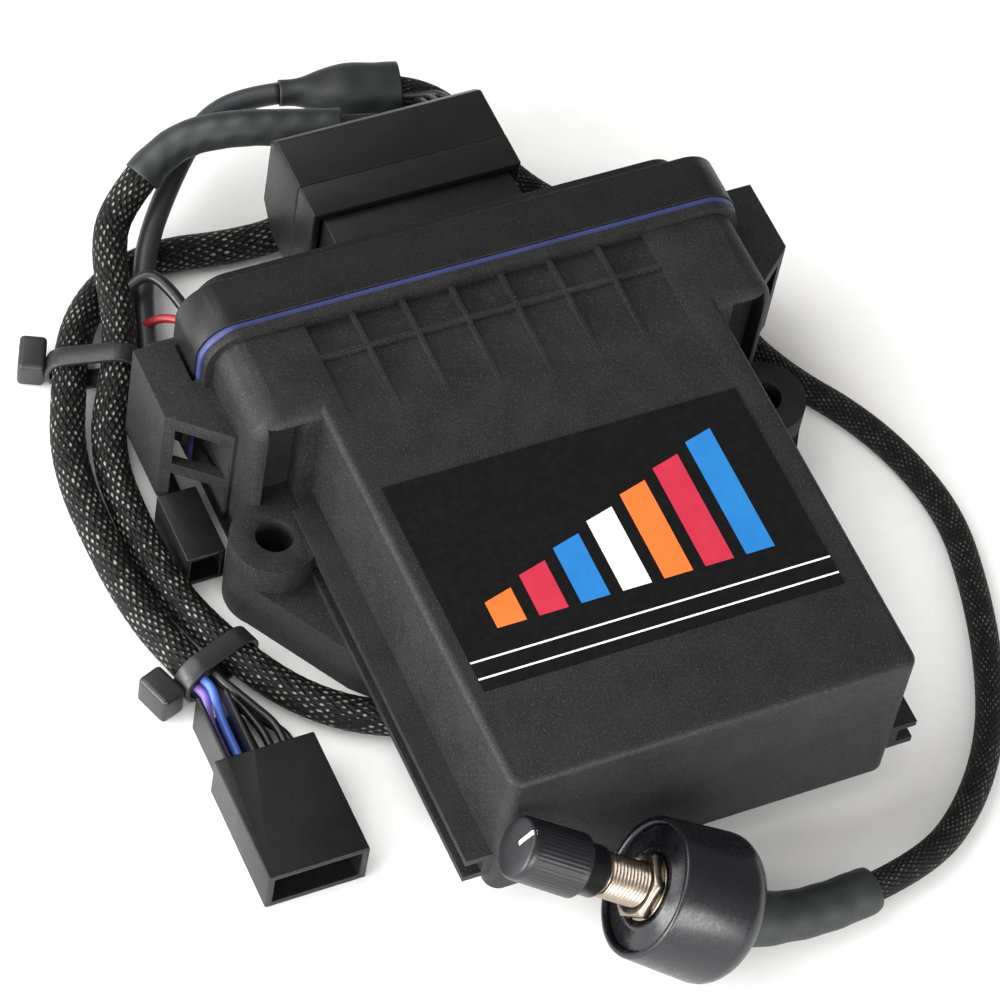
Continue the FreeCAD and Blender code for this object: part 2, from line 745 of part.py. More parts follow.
# Each block on the board: left side, distance from the box's front, width, depth and height
BOARD_BLOCKS = {
    "coil": (14.0, 16.0, 14.0, 14.0, 8.0),
    "processor": (-10.0, 50.0, 20.0, 20.0, 1.6),
    "driver_one": (-30.0, 44.0, 10.0, 12.0, 4.4),
    "driver_two": (20.0, 44.0, 10.0, 12.0, 4.4),
    "pressure_sensor": (16.0, 66.0, 9.0, 9.0, 5.0),
}


def make_board_parts():
    length = "board_length"
    rear = "mouth_plane - board_rear_gap"
    inside = "box_half_width - housing_wall - board_gap"
    block("circuit_board", (f"-({inside})", f"{rear} - {length}", "board_underside"),
          (f"2 * ({inside})", length, "board_thickness"))
    top = "board_underside + board_thickness"
    pieces = []
    for place in range(3):
        can = document.addObject("Part::Cylinder", f"capacitor_{place}")
        can.setExpression("Radius", bound("capacitor_radius"))
        can.setExpression("Height", bound("capacitor_height"))
        can.setExpression("Placement.Base.z", bound(top))
        can.setExpression("Placement.Base.x", bound(f"capacitor_left + {place} * capacitor_pitch"))
        can.setExpression("Placement.Base.y", bound("-box_reach + capacitor_row"))
        pieces.append(can)
    for name, (across, row, width, depth, height) in BOARD_BLOCKS.items():
        pieces.append(block(name, (str(across), f"-box_reach + {row}", top), (str(width), str(depth), str(height))))
    group("board_components", pieces)


# Harness plug


def make_plug():
    housing = new_body("plug_housing")
    sleeve = new_sketch(housing, "XZ_Plane", "sleeve_outline", "-plug_split")
    add_rectangle(sleeve, "-plug_half_width", "plug_half_width", "plug_bottom", "plug_bottom + plug_height")
    feature_from(housing, "Pad", sleeve, "plug_split - plug_front")
    mouth = new_sketch(housing, "XZ_Plane", "sleeve_mouth", "-plug_front")
    add_rectangle(mouth, "-plug_half_width + plug_wall", "plug_half_width - plug_wall",
                  "plug_bottom + plug_wall", "plug_bottom + plug_height - plug_wall")
    feature_from(housing, "Pocket", mouth, "plug_split - plug_front - plug_wall", backwards=False)
    core = new_sketch(housing, "XZ_Plane", "core_outline", "-plug_split + 1")
    gap = "(shroud_wall + plug_gap)"
    add_rectangle(core, f"-shroud_half_width + {gap}", f"shroud_half_width - {gap}",
                  f"shroud_bottom + {gap}", f"shroud_bottom + shroud_height - {gap}")
    feature_from(housing, "Pad", core, "plug_split - 1 - mouth_plane - seal_thickness - flange_depth - step_depth - plug_gap")
    add_pin_holes(housing, "-mouth_plane - seal_thickness - flange_depth - step_depth", "plug_length_inside",
                  "terminal_width", backwards=False)
    cover = new_body("plug_rear_cover")
    shell = new_sketch(cover, "XZ_Plane", "cover_outline", "-plug_rear")
    add_rectangle(shell, "-plug_half_width", "plug_half_width", "plug_bottom", "plug_bottom + plug_height")
    feature_from(cover, "Pad", shell, "plug_rear - plug_split")
    chamfer_edges(cover, "plug_corner", lambda middle, run: near(abs(run.x), 1)
                  and near(middle.y, size("plug_rear")) and middle.z < size("plug_bottom") + 1)
    chamfer_edges(cover, "plug_corner * 0.4", lambda middle, run: near(abs(run.x), 1)
                  and near(middle.y, size("plug_rear")) and middle.z > size("plug_bottom") + 10)
    room = new_sketch(cover, "XZ_Plane", "cover_room", "-plug_split")
    add_rectangle(room, "-plug_half_width + plug_wall", "plug_half_width - plug_wall",
                  "plug_bottom + plug_corner", "plug_bottom + plug_height - plug_wall - 1")
    feature_from(cover, "Pocket", room, "plug_rear - plug_split - plug_wall", backwards=False)


# Dial pod, built upright about its own axis and then laid over


def pod_placement():
    """Place the rim centre so that the lowest point of the rounded rear edge meets the floor."""
    tilt = math.radians(size("pod_tilt"))
    round_level = size("pod_length") - size("pod_round")
    round_centre = size("pod_rear_radius") - size("pod_round")
    drop = round_level * math.sin(tilt) + round_centre * math.cos(tilt) + size("pod_round")
    base = FreeCAD.Vector(size("pod_centre_across"), size("pod_centre_along"), drop)
    turn = FreeCAD.Rotation(FreeCAD.Vector(0, 0, 1), size("pod_heading"))
    lean = FreeCAD.Rotation(FreeCAD.Vector(0, 1, 0), 90 - size("pod_tilt"))
    return FreeCAD.Placement(base, turn.multiply(lean))


def turned_body(label, profile_corners):
    """Turn a profile of (radius, level) corners about the pod's axis."""
    body = new_body(label)
    profile = new_sketch(body, "XZ_Plane", label + "_profile")
    add_outline(profile, profile_corners)
    revolve(body, profile)
    return body


def make_pod():
    face_back = "-pod_face_recess - pod_face_thickness"
    pot_back = f"{face_back} - pot_body_depth"
    cup = turned_body("pod_cup", [
        ("0", "-pod_length"), ("pod_rear_radius", "-pod_length"),
        ("pod_rear_radius", "-pod_taper_length"), ("pod_rim_radius", "0"),
        ("pod_rim_radius - pod_wall", "0"),
        ("pod_rim_radius - pod_wall", face_back),
        ("pod_rim_radius - pod_wall * 1.5", face_back),
        ("pod_rim_radius - pod_wall * 1.5", "-pod_length + pod_wall * 1.6"),
        ("0", "-pod_length + pod_wall * 1.6"),
    ])
    base = cup.Tip
    rear_edge = [f"Edge{place}" for place, edge in enumerate(base.Shape.Edges, start=1)
                 if isinstance(edge.Curve, Part.Circle) and near(edge.Curve.Radius, size("pod_rear_radius"))
                 and near(edge.Curve.Center.z, -size("pod_length"))]
    rounded = cup.newObject("PartDesign::Fillet", "cup_round")
    rounded.Base = (base, rear_edge)
    rounded.setExpression("Radius", bound("pod_round - 0.01"))
    cup.Tip = rounded
    disc = turned_body("pod_face", [
        ("bushing_radius", face_back), ("pod_rim_radius - pod_wall", face_back),
        ("pod_rim_radius - pod_wall", "-pod_face_recess"), ("bushing_radius", "-pod_face_recess"),
    ])
    pot = turned_body("pot_body", [
        ("shaft_radius + shaft_journal_radius", face_back), ("pot_body_radius", face_back), ("pot_body_radius", pot_back),
        ("0", pot_back), ("0", f"{pot_back} + pot_wall"),
        ("pot_body_radius - pot_wall", f"{pot_back} + pot_wall"),
        ("pot_body_radius - pot_wall", f"{face_back} - pot_wall"),
        ("shaft_radius + shaft_journal_radius", f"{face_back} - pot_wall"),
    ])
    track = turned_body("pot_track", [
        ("track_bore", f"{pot_back} + pot_wall"), ("pot_body_radius - pot_wall", f"{pot_back} + pot_wall"),
        ("pot_body_radius - pot_wall", f"{pot_back} + pot_wall + track_thickness"),
        ("track_bore", f"{pot_back} + pot_wall + track_thickness"),
    ])
    bushing_top = f"{face_back} + bushing_length"
    bushing = turned_body("pot_bushing", [
        ("shaft_radius + shaft_gap", face_back), ("bushing_radius", face_back),
        ("bushing_radius", f"{bushing_top} - bushing_chamfer"), ("bushing_radius - bushing_chamfer", bushing_top),
        ("shaft_radius + shaft_gap", bushing_top),
    ])
    washer_top = "-pod_face_recess + washer_thickness"
    washer = turned_body("pot_washer", [
        ("bushing_radius", "-pod_face_recess"), ("washer_radius", "-pod_face_recess"),
        ("washer_radius", washer_top), ("bushing_radius", washer_top),
    ])
    nut = make_nut(washer_top)
    wiper_low = f"{pot_back} + pot_wall + track_thickness + wiper_gap"
    shaft = turned_body("pot_shaft", [
        ("0", wiper_low), ("shaft_journal_radius", wiper_low),
        ("shaft_journal_radius", f"{wiper_low} + wiper_thickness"),
        ("shaft_radius", f"{wiper_low} + wiper_thickness"),
        ("shaft_radius", f"{bushing_top} + knob_gap + knob_length"), ("0", f"{bushing_top} + knob_gap + knob_length"),
    ])
    wiper = turned_body("wiper", [
        ("shaft_journal_radius", wiper_low), ("wiper_radius", wiper_low),
        ("wiper_radius", f"{wiper_low} + wiper_thickness"), ("shaft_journal_radius", f"{wiper_low} + wiper_thickness"),
    ])
    knob_low = f"{bushing_top} + knob_gap"
    knob_top = f"{knob_low} + knob_collar_length + knob_length"
    knob = turned_body("knob", [
        ("shaft_radius", knob_low), ("knob_collar_radius", knob_low),
        ("knob_collar_radius", f"{knob_low} + knob_collar_length"),
        ("knob_radius", f"{knob_low} + knob_collar_length"),
        ("knob_radius", f"{knob_top} - knob_edge"), ("knob_radius - knob_edge", knob_top), ("0", knob_top),
        ("0", f"{knob_low} + knob_length"), ("shaft_radius", f"{knob_low} + knob_length"),
    ])
    pointer = block("knob_pointer", ("0", "0", "0"), ("knob_radius - pointer_inset - pointer_stop", "pointer_width", "pointer_thickness"))
    local = FreeCAD.Placement(FreeCAD.Vector(-size("knob_radius") + size("pointer_inset"), -size("pointer_width") / 2,
                                             knob.Shape.BoundBox.ZMax), FreeCAD.Rotation())
    place = pod_placement()
    document.recompute()
    pointer.setExpression("Placement.Base.x", None)
    pointer.setExpression("Placement.Base.y", None)
    pointer.setExpression("Placement.Base.z", None)
    pointer.Placement = place.multiply(local)
    for body in (cup, disc, pot, track, bushing, washer, nut, shaft, wiper, knob):
        body.Placement = place


def make_nut(washer_top):
    body = new_body("pot_nut")
    hexagon = new_sketch(body, "XY_Plane", "nut_outline", washer_top)
    corners = []
    for place in range(6):
        turn = math.radians(60 * place)
        share = f"nut_across_flats / 2 / {math.cos(math.radians(30)):.6f}"
        corners.append((f"{share} * {math.cos(turn):.6f}", f"{share} * {math.sin(turn):.6f}"))
    add_outline(hexagon, corners)
    add_circle(hexagon, "0", "0", "bushing_radius")
    feature_from(body, "Pad", hexagon, "nut_thickness")
    return body


# Looms, jackets and wires

BOOT_LEAD = 12.6
BOOT_END_FROM_POD = (47.1, -7.1, 4.8)
POD_CORD = [
    (41.7, -102.1, 4.5), (55.6, -93.2, 3.0), (67.2, -80.0, 2.9), (75.0, -64.0, 2.9),
    (80.6, -46.5, 2.9), (83.8, -30.0, 2.9), (81.4, -14.0, 2.9), (75.8, 0.0, 2.9), (67.6, 12.0, 2.9),
    (62.4, 25.0, 2.9), (61.6, 41.0, 2.9), (57.2, 54.0, 2.9), (48.6, 63.0, 2.9), (38.4, 69.6, 4.0),
    (29.6, 80.5, 9.0), (20.2, 95.8, 20.1), (5.9, 99.5, 17.9),
]
JACKET_A_MOUTH = (13.5, 97.5, 22.0)
JACKET_A_NECK = (-9.5, 103.5, 18.4)
SMOOTH_TUBE = [
    JACKET_A_NECK, (-17.0, 105.5, 17.2), (-25.3, 104.0, 15.7), (-32.2, 98.2, 13.9), (-39.4, 90.6, 11.8),
    (-46.0, 82.4, 9.9), (-50.8, 73.5, 7.8), (-54.0, 63.5, 6.0), (-56.6, 53.5, 4.3), (-59.4, 43.5, 2.9),
    (-62.2, 35.0, 2.8), (-63.7, 28.5, 4.5), (-63.7, 22.3, 4.5),
]
JACKET_B = [(-13.0, 87.2, 27.2), (-25.5, 91.6, 26.8), (-37.5, 95.0, 22.8), (-44.6, 91.6, 18.2)]
BRAID_ONE = [
    JACKET_B[-1], (-51.7, 88.2, 13.6), (-56.2, 79.0, 12.2), (-58.0, 70.0, 11.0), (-60.4, 61.0, 9.5),
    (-64.6, 52.0, 7.5), (-69.4, 44.0, 5.2), (-72.1, 34.5, 3.7), (-72.6, 23.5, 3.5), (-72.4, 12.5, 3.5),
    (-71.2, 1.0, 4.0), (-68.3, -9.5, 5.3), (-64.2, -18.5, 5.3), (-58.3, -26.5, 4.1), (-51.0, -33.0, 3.5),
    (-42.5, -37.7, 3.5), (-33.0, -40.8, 3.5), (-22.5, -42.5, 3.5), (-11.0, -43.6, 3.5), (0.5, -45.4, 3.5),
    (12.0, -47.6, 3.5), (23.0, -49.4, 3.5), (33.6, -50.2, 3.5), (43.8, -50.4, 3.9),
]
BRAID_OUTER = [
    (4.0, 88.0, 9.0), (-6.5, 82.5, 6.0), (-18.0, 79.2, 3.9), (-30.0, 79.8, 3.5), (-42.0, 82.0, 3.5),
    (-53.0, 80.4, 3.5), (-62.4, 74.0, 4.0), (-69.2, 64.5, 5.4), (-73.9, 54.0, 5.4), (-78.4, 43.0, 4.0),
    (-80.1, 31.5, 3.5), (-80.1, 20.0, 3.5), (-79.7, 8.5, 3.5), (-78.4, -3.0, 4.2), (-76.0, -12.5, 5.3),
    (-73.8, -19.4, 5.4),
]
ROUTE_REACH = 81.8


def along_box(points):
    """Stretch the part of a route that lies in front of the ears as the box grows."""
    stretch = size("box_reach") / ROUTE_REACH
    return [(across, along * stretch if along < 0 else along, level) for across, along, level in points]


def boot_end():
    across, along, level = BOOT_END_FROM_POD
    return size("pod_centre_across") + across, size("pod_centre_along") + along, level


def make_boot():
    rear_centre = pod_placement().multVec(FreeCAD.Vector(0, 0, -size("pod_length")))
    lead = pod_placement().Rotation.multVec(FreeCAD.Vector(0, 0, -1))
    bend = rear_centre + lead * BOOT_LEAD
    cone = Part.makeCone(size("boot_radius"), size("boot_cone_end"), size("boot_cone_length"), rear_centre, lead)
    neck = tube([rear_centre, bend, boot_end()], size("boot_neck_radius"), "pod_boot")
    finished("pod_boot", cone.fuse(neck).removeSplitter())


def make_looms():
    finished("pod_cord", tube([boot_end(), *along_box(POD_CORD)], size("pod_cord_radius"), "pod_cord"))
    finished("smooth_tube", tube(SMOOTH_TUBE, size("smooth_radius"), "smooth_tube"))
    finished("braid_one", tube(along_box(BRAID_ONE), size("braid_radius"), "braid_one"))
    finished("braid_outer", tube(along_box(BRAID_OUTER), size("braid_radius"), "braid_outer"))
    finished("loom_jacket_b", tube(JACKET_B, size("jacket_bend_radius"), "loom_jacket_b"))
    mouth = FreeCAD.Vector(*JACKET_A_MOUTH)
    axis = FreeCAD.Vector(*JACKET_A_NECK) - mouth
    funnel = Part.makeCone(size("jacket_mouth_radius"), size("jacket_neck_radius"), axis.Length, mouth, axis)
    barrel = Part.makeCylinder(size("jacket_mouth_radius"), size("jacket_pocket") + size("jacket_wall"), mouth, axis)
    pocket = Part.makeCylinder(size("jacket_mouth_radius") - size("jacket_wall"), size("jacket_pocket"), mouth, axis)
    finished("loom_jacket_a", funnel.fuse(barrel).cut(pocket).removeSplitter())


def aligned_wires(entry, heading, exits, lead, arrival):
    """Lead one wire straight out of the plug at each exit and straight in at the entry."""
    inward = FreeCAD.Vector(*heading).normalize()
    aside = FreeCAD.Vector(-inward.y, inward.x, 0).normalize()
    wires = []
    for place, out in enumerate(exits):
        first = FreeCAD.Vector(out[0], size("plug_rear"), out[1])
        target = FreeCAD.Vector(*entry) + aside * (2.1 * (place - 1))
        wires.append(tube([first, first + FreeCAD.Vector(0, lead, 0), target - inward * arrival, target],
                          size("wire_radius")))
    return wires


def make_plug_wires():
    mouth = FreeCAD.Vector(*JACKET_A_MOUTH)
    axis = (FreeCAD.Vector(*JACKET_A_NECK) - mouth).normalize()
    entry = mouth + axis * size("jacket_pocket") + FreeCAD.Vector(0, 0, 3.2)
    wires = aligned_wires(entry, axis, [(15.6, 25.4), (18.0, 25.4), (20.4, 25.4)], 11.0, 13.0)
    bend = FreeCAD.Vector(*JACKET_B[1]) - FreeCAD.Vector(*JACKET_B[0])
    wires += aligned_wires(JACKET_B[0], bend, [(-8.6, 27.2), (-6.5, 27.2), (-4.4, 27.2)], 3.6, 4.0)
    turn = FreeCAD.Vector(*BRAID_OUTER[1]) - FreeCAD.Vector(*BRAID_OUTER[0])
    wires += aligned_wires(BRAID_OUTER[0], turn, [(17.6, 15.0), (15.2, 15.0), (12.8, 15.0)], 9.0, 7.0)
    finished("plug_wires", Part.makeCompound(wires))


# Cable ties


def belt(circles, clearance):
    """Close a wire round circles given anticlockwise as (across, up, radius) in one plane."""
    edges = []
    count = len(circles)
    joints = []
    for place in range(count):
        first = circles[place]
        second = circles[(place + 1) % count]
        across, up = second[0] - first[0], second[1] - first[1]
        reach = math.hypot(across, up)
        lean = math.asin((first[2] - second[2]) / reach)
        turn = math.atan2(up, across) - math.pi / 2 + lean
        joints.append(turn)
    for place in range(count):
        circle = circles[place]
        radius = circle[2] + clearance
        before = joints[place - 1]
        after = joints[place]
        while after < before:
            after += 2 * math.pi
        turns = (before, (before + after) / 2, after)
        arc = [FreeCAD.Vector(circle[0] + radius * math.cos(turn), circle[1] + radius * math.sin(turn), 0)
               for turn in turns]
        following = circles[(place + 1) % count]
        reach = following[2] + clearance
        end = FreeCAD.Vector(following[0] + reach * math.cos(after), following[1] + reach * math.sin(after), 0)
        edges.append(Part.Arc(*arc).toShape())
        edges.append(Part.LineSegment(arc[2], end).toShape())
    return Part.Wire(edges)


def crossing(label, place):
    """Find where a loom passes through the plane of a tie, in the plane's own axes."""
    shape = document.getObjectsByLabel(label)[0].Shape
    normal = place.Rotation.multVec(FreeCAD.Vector(0, 0, 1))
    cuts = shape.slice(normal, normal.dot(place.Base))
    nearest = min(cuts, key=lambda cut: (cut.BoundBox.Center - place.Base).Length)
    local = place.inverse().multVec(Part.Face(nearest).CenterOfMass)
    return local.x, local.y


def make_tie(label, centre, along, looms):
    """Wrap a band round the looms where they cross the plane at the centre."""
    width = size("tie_width")
    along = FreeCAD.Vector(*along).normalize()
    across = FreeCAD.Vector(0, 0, 1).cross(along).normalize()
    up = along.cross(across)
    place = FreeCAD.Placement(FreeCAD.Vector(*centre), FreeCAD.Rotation(across, up, along, "ZYX"))
    circles = [(*crossing(name, place), size(radius)) for name, radius in looms]
    gap = size("tie_gap")
    skin = size("tie_thickness")
    band = Part.Face(belt(circles, gap + skin)).cut(Part.Face(belt(circles, gap)))
    band = band.extrude(FreeCAD.Vector(0, 0, width))
    band.translate(FreeCAD.Vector(0, 0, -width / 2))
    finished(label + "_band", band, place)
    outermost = min(circles, key=lambda circle: circle[0])
    edge = outermost[0] - outermost[2] - gap - skin - size("tie_head_height")
    head = Part.makeBox(size("tie_head_height"), size("tie_head_width"), size("tie_head_length"),
                        FreeCAD.Vector(edge, size("tie_head_rise"), -size("tie_head_length") / 2))
    finished(label + "_head", head, place)


def make_ties():
    looms = [("braid_one", "braid_radius"), ("braid_outer", "braid_radius")]
    make_tie("tie_one", (-66.0, 60.0, 0.0), (-4.2, -9.2, -0.95), looms)
    make_tie("tie_two", (-71.2, -14.0, 0.0), (3.42, -9.4, 0.0), looms)


# Connectors


def make_six_way():
    housing = new_body("six_way_housing")
    outline = new_sketch(housing, "XY_Plane", "six_way_outline")
    add_outline(outline, [
        ("six_way_left", "six_way_rear - six_way_length"),
        ("six_way_left + six_way_width", "six_way_rear - six_way_length"),
        ("six_way_left + six_way_width", "six_way_rear"),
        ("six_way_left + 2 + six_way_channel_width", "six_way_rear"),
        ("six_way_left + 2 + six_way_channel_width", "six_way_rear + six_way_channel"),
        ("six_way_left + 2", "six_way_rear + six_way_channel"),
        ("six_way_left + 2", "six_way_rear"),
        ("six_way_left", "six_way_rear"),
    ])
    feature_from(housing, "Pad", outline, "six_way_height")
    channel = new_sketch(housing, "XZ_Plane", "six_way_channel_room", "-six_way_rear - six_way_channel")
    add_rectangle(channel, "six_way_left + 2 + six_way_channel_wall",
                  "six_way_left + 2 + six_way_channel_width - six_way_channel_wall",
                  "six_way_wall", "six_way_height + 1")
    feature_from(housing, "Pocket", channel, "six_way_channel", backwards=True)
    socket = new_sketch(housing, "XZ_Plane", "six_way_socket", "-six_way_rear + six_way_length")
    add_rectangle(socket, "six_way_left + six_way_wall", "six_way_left + six_way_width - six_way_wall",
                  "six_way_wall", "six_way_height - six_way_wall")
    feature_from(housing, "Pocket", socket, "six_way_length * 0.4", backwards=False)
    pins = []
    for column in range(3):
        for row in range(2):
            pins.append(block(f"six_way_pin_{column}_{row}",
                              (f"six_way_left + six_way_width / 2 + {5.2 * (column - 1)} - 0.4",
                               "six_way_rear - six_way_length + 5.5",
                               f"six_way_height / 2 + {2.6 * (row - 0.5)} - 0.4"),
                              ("0.8", "six_way_length * 0.4 - 5.5", "0.8")))
    group("six_way_terminals", pins)


def make_three_way():
    body = new_body("three_way_receptacle")
    outline = new_sketch(body, "XZ_Plane", "three_way_outline", "-three_way_front")
    half = "three_way_width / 2"
    add_rectangle(outline, f"three_way_centre - {half}", f"three_way_centre + {half}", "0", "three_way_height")
    feature_from(body, "Pad", outline, "three_way_length", backwards=True)
    mouth = new_sketch(body, "XZ_Plane", "three_way_mouth", "-three_way_front")
    add_rectangle(mouth, f"three_way_centre - {half} + three_way_wall", f"three_way_centre + {half} - three_way_wall",
                  "three_way_wall", "three_way_height - three_way_wall")
    feature_from(body, "Pocket", mouth, "three_way_mouth", backwards=False)
    pins = []
    for column in (-1, 0, 1):
        pins.append(block(f"three_way_pin_{column + 1}",
                          (f"three_way_centre + {2.0 * column} - 0.35", "three_way_front + 4.6",
                           "three_way_height / 2 - 0.35"),
                          ("0.7", "three_way_mouth - 4.6", "0.7")))
    group("three_way_pins", pins)
    plug = new_body("three_way_plug")
    base = new_sketch(plug, "YZ_Plane", "far_plug_outline", "far_plug_near")
    half_plug = "far_plug_width / 2"
    add_rectangle(base, f"far_plug_centre - {half_plug}", f"far_plug_centre + {half_plug}", "0", "far_plug_height")
    feature_from(plug, "Pad", base, "far_plug_length")
    sockets = new_sketch(plug, "YZ_Plane", "far_plug_sockets", "far_plug_near + far_plug_length")
    for column in (-1, 0, 1):
        add_rectangle(sockets, f"far_plug_centre + {2.6 * column} - 0.8", f"far_plug_centre + {2.6 * column} + 0.8",
                      "far_plug_height / 2 - 0.8", "far_plug_height / 2 + 0.8")
    feature_from(plug, "Pocket", sockets, "far_plug_length * 0.6")


def make_loom_wires():
    """Run the open wires from the outer braid into the six-way connector."""
    before, end = (FreeCAD.Vector(*point) for point in along_box(BRAID_OUTER)[-2:])
    lead = (end - before).normalize()
    end += lead * size("wire_clearance")
    aside = FreeCAD.Vector(-lead.y, lead.x, 0).normalize()
    above = lead.cross(aside)
    rear = size("six_way_rear")
    left = size("six_way_left")
    radius = size("wire_radius")

    def wire(offset, rise, target, level, straight):
        start = end + aside * offset + above * rise
        return tube([start, start + lead * 2.4, (target, rear + straight, level), (target, rear, level)], radius)

    finished("purple_wire", wire(-2.2, 0.6, left + 4.2, 4.6, 11.0))
    finished("blue_wire", wire(-0.7, 1.9, left + 6.4, 5.2, 11.0))
    blacks = [(2.0, -1.5, 10.6, 3.0), (2.5, 0.3, 13.0, 5.0), (1.9, 2.0, 15.4, 6.6), (0.9, -2.4, 18.0, 2.2)]
    finished("black_wires", Part.makeCompound(
        [wire(offset, rise, left + across, level, 6.0) for offset, rise, across, level in blacks]))


# Checks and files


def check_and_write(names):
    for item in document.Objects:
        if "Invalid" in item.State or "Error" in item.State:
            raise RuntimeError(f"{item.Label} did not build: {item.State}")
    os.makedirs("parts", exist_ok=True)
    for name in names:
        piece = document.getObjectsByLabel(name)[0]
        if piece.Shape.isNull() or not piece.Shape.isValid() or not piece.Shape.Solids:
            raise RuntimeError(f"{name} has no valid solid")
        piece.Shape.exportStep(f"parts/{name}.step")
        print(f"{name}: {len(piece.Shape.Solids)} solids, {piece.Shape.Volume / 1000:.3f} cm3")


NODES = [
    "enclosure_shell", "perimeter_seal", "header", "header_pins", "circuit_board", "board_components",
    "front_label", "plug_housing", "plug_rear_cover", "plug_terminals", "plug_wires", "loom_jacket_a", "loom_jacket_b",
    "smooth_tube", "braid_one", "braid_outer", "tie_one_band", "tie_one_head", "tie_two_band",
    "tie_two_head", "six_way_housing", "six_way_terminals", "purple_wire", "blue_wire", "black_wires",
    "three_way_receptacle", "three_way_pins", "three_way_plug", "pod_cup", "pod_face", "pot_body",
    "pot_track", "pot_bushing", "pot_washer", "pot_nut", "pot_shaft", "wiper", "knob", "knob_pointer",
    "pod_boot", "pod_cord",
]

fill_sheet()
make_enclosure()
make_seal()
make_header()
make_board_parts()
block("front_label", ("label_centre - label_half_width", "-label_front", "housing_top"),
      ("2 * label_half_width", "label_length", "label_thickness"))
make_plug()
make_pod()
make_boot()
make_looms()
make_plug_wires()
make_ties()
make_six_way()
make_three_way()
make_loom_wires()
make_header_pins()
document.recompute()
check_and_write(NODES)
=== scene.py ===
import json
import math

import bmesh
import bpy
import numpy as np
from mathutils import Matrix

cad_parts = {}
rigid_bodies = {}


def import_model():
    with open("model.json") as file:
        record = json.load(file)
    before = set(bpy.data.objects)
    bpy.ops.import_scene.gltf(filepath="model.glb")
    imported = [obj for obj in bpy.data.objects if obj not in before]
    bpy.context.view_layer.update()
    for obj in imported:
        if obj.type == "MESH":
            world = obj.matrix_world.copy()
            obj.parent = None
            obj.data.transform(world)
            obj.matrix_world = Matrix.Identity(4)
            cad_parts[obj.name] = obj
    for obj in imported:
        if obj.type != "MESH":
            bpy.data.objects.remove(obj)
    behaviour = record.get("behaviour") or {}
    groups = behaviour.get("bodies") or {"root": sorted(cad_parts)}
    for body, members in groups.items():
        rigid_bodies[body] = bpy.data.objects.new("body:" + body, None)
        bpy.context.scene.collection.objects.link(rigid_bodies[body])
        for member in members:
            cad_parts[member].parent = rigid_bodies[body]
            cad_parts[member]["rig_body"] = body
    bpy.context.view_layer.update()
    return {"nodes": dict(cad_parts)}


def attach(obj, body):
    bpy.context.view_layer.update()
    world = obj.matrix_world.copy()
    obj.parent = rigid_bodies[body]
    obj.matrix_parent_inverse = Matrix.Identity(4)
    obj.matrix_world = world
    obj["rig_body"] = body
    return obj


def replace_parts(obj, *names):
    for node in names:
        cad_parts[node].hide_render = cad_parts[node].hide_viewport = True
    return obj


# A boost control module with its harness looms and its remote dial, lying on a pale studio floor.
# Lengths are written in millimetres and turned to metres where a mesh is made.

MM = 0.001
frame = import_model()
nodes = frame["nodes"]
MADE = {}
scene = bpy.context.scene


# Materials


def linear(code):
    """Turn an sRGB hex colour into linear red, green, blue and alpha."""
    parts = np.array([int(code[place:place + 2], 16) for place in (1, 3, 5)]) / 255.0
    parts = np.where(parts <= 0.04045, parts / 12.92, ((parts + 0.055) / 1.055) ** 2.4)
    return (*parts.tolist(), 1.0)


def add_node(tree, kind, sockets=None, **settings):
    """Add one shader node, set its options, and fill or link its input sockets."""
    node = tree.nodes.new("ShaderNode" + kind)
    for name, value in settings.items():
        setattr(node, name, value)
    for name, value in (sockets or {}).items():
        if isinstance(value, bpy.types.NodeSocket):
            tree.links.new(value, node.inputs[name])
        else:
            node.inputs[name].default_value = value
    return node


def new_material(name, **sockets):
    """Make a material with a principled surface and return it with its node tree and that surface."""
    material = bpy.data.materials.new(name)
    material.use_nodes = True
    tree = material.node_tree
    surface = tree.nodes["Principled BSDF"]
    for socket, value in sockets.items():
        surface.inputs[socket.replace("_", " ")].default_value = value
    return material, tree, surface


def blend_colours(tree, share, first, second):
    """Mix two hex colours or colour sockets by a share socket."""
    mix = add_node(tree, "Mix", data_type="RGBA")
    tree.links.new(share, mix.inputs["Factor"])
    for place, colour in ((6, first), (7, second)):
        if isinstance(colour, str):
            mix.inputs[place].default_value = linear(colour)
        else:
            tree.links.new(colour, mix.inputs[place])
    return mix.outputs[2]


def span(tree, value, low, high, to_low, to_high):
    """Map a value socket from one range to another, held at the ends."""
    return add_node(tree, "MapRange", {0: value, 1: low, 2: high, 3: to_low, 4: to_high}).outputs[0]


def object_noise(tree, millimetres, detail=2.0, roughness=0.5):
    """Read a noise on the object's own coordinates whose lumps are about so many millimetres wide."""
    place = add_node(tree, "TexCoord").outputs["Object"]
    return add_node(tree, "TexNoise", {"Vector": place, "Scale": 1.0 / (millimetres * MM), "Detail": detail,
                                       "Roughness": roughness}).outputs["Fac"]


def bump(tree, surface, height, strength, distance):
    """Raise the surface by a height socket."""
    relief = add_node(tree, "Bump", {"Height": height, "Strength": strength, "Distance": distance * MM})
    tree.links.new(relief.outputs["Normal"], surface.inputs["Normal"])


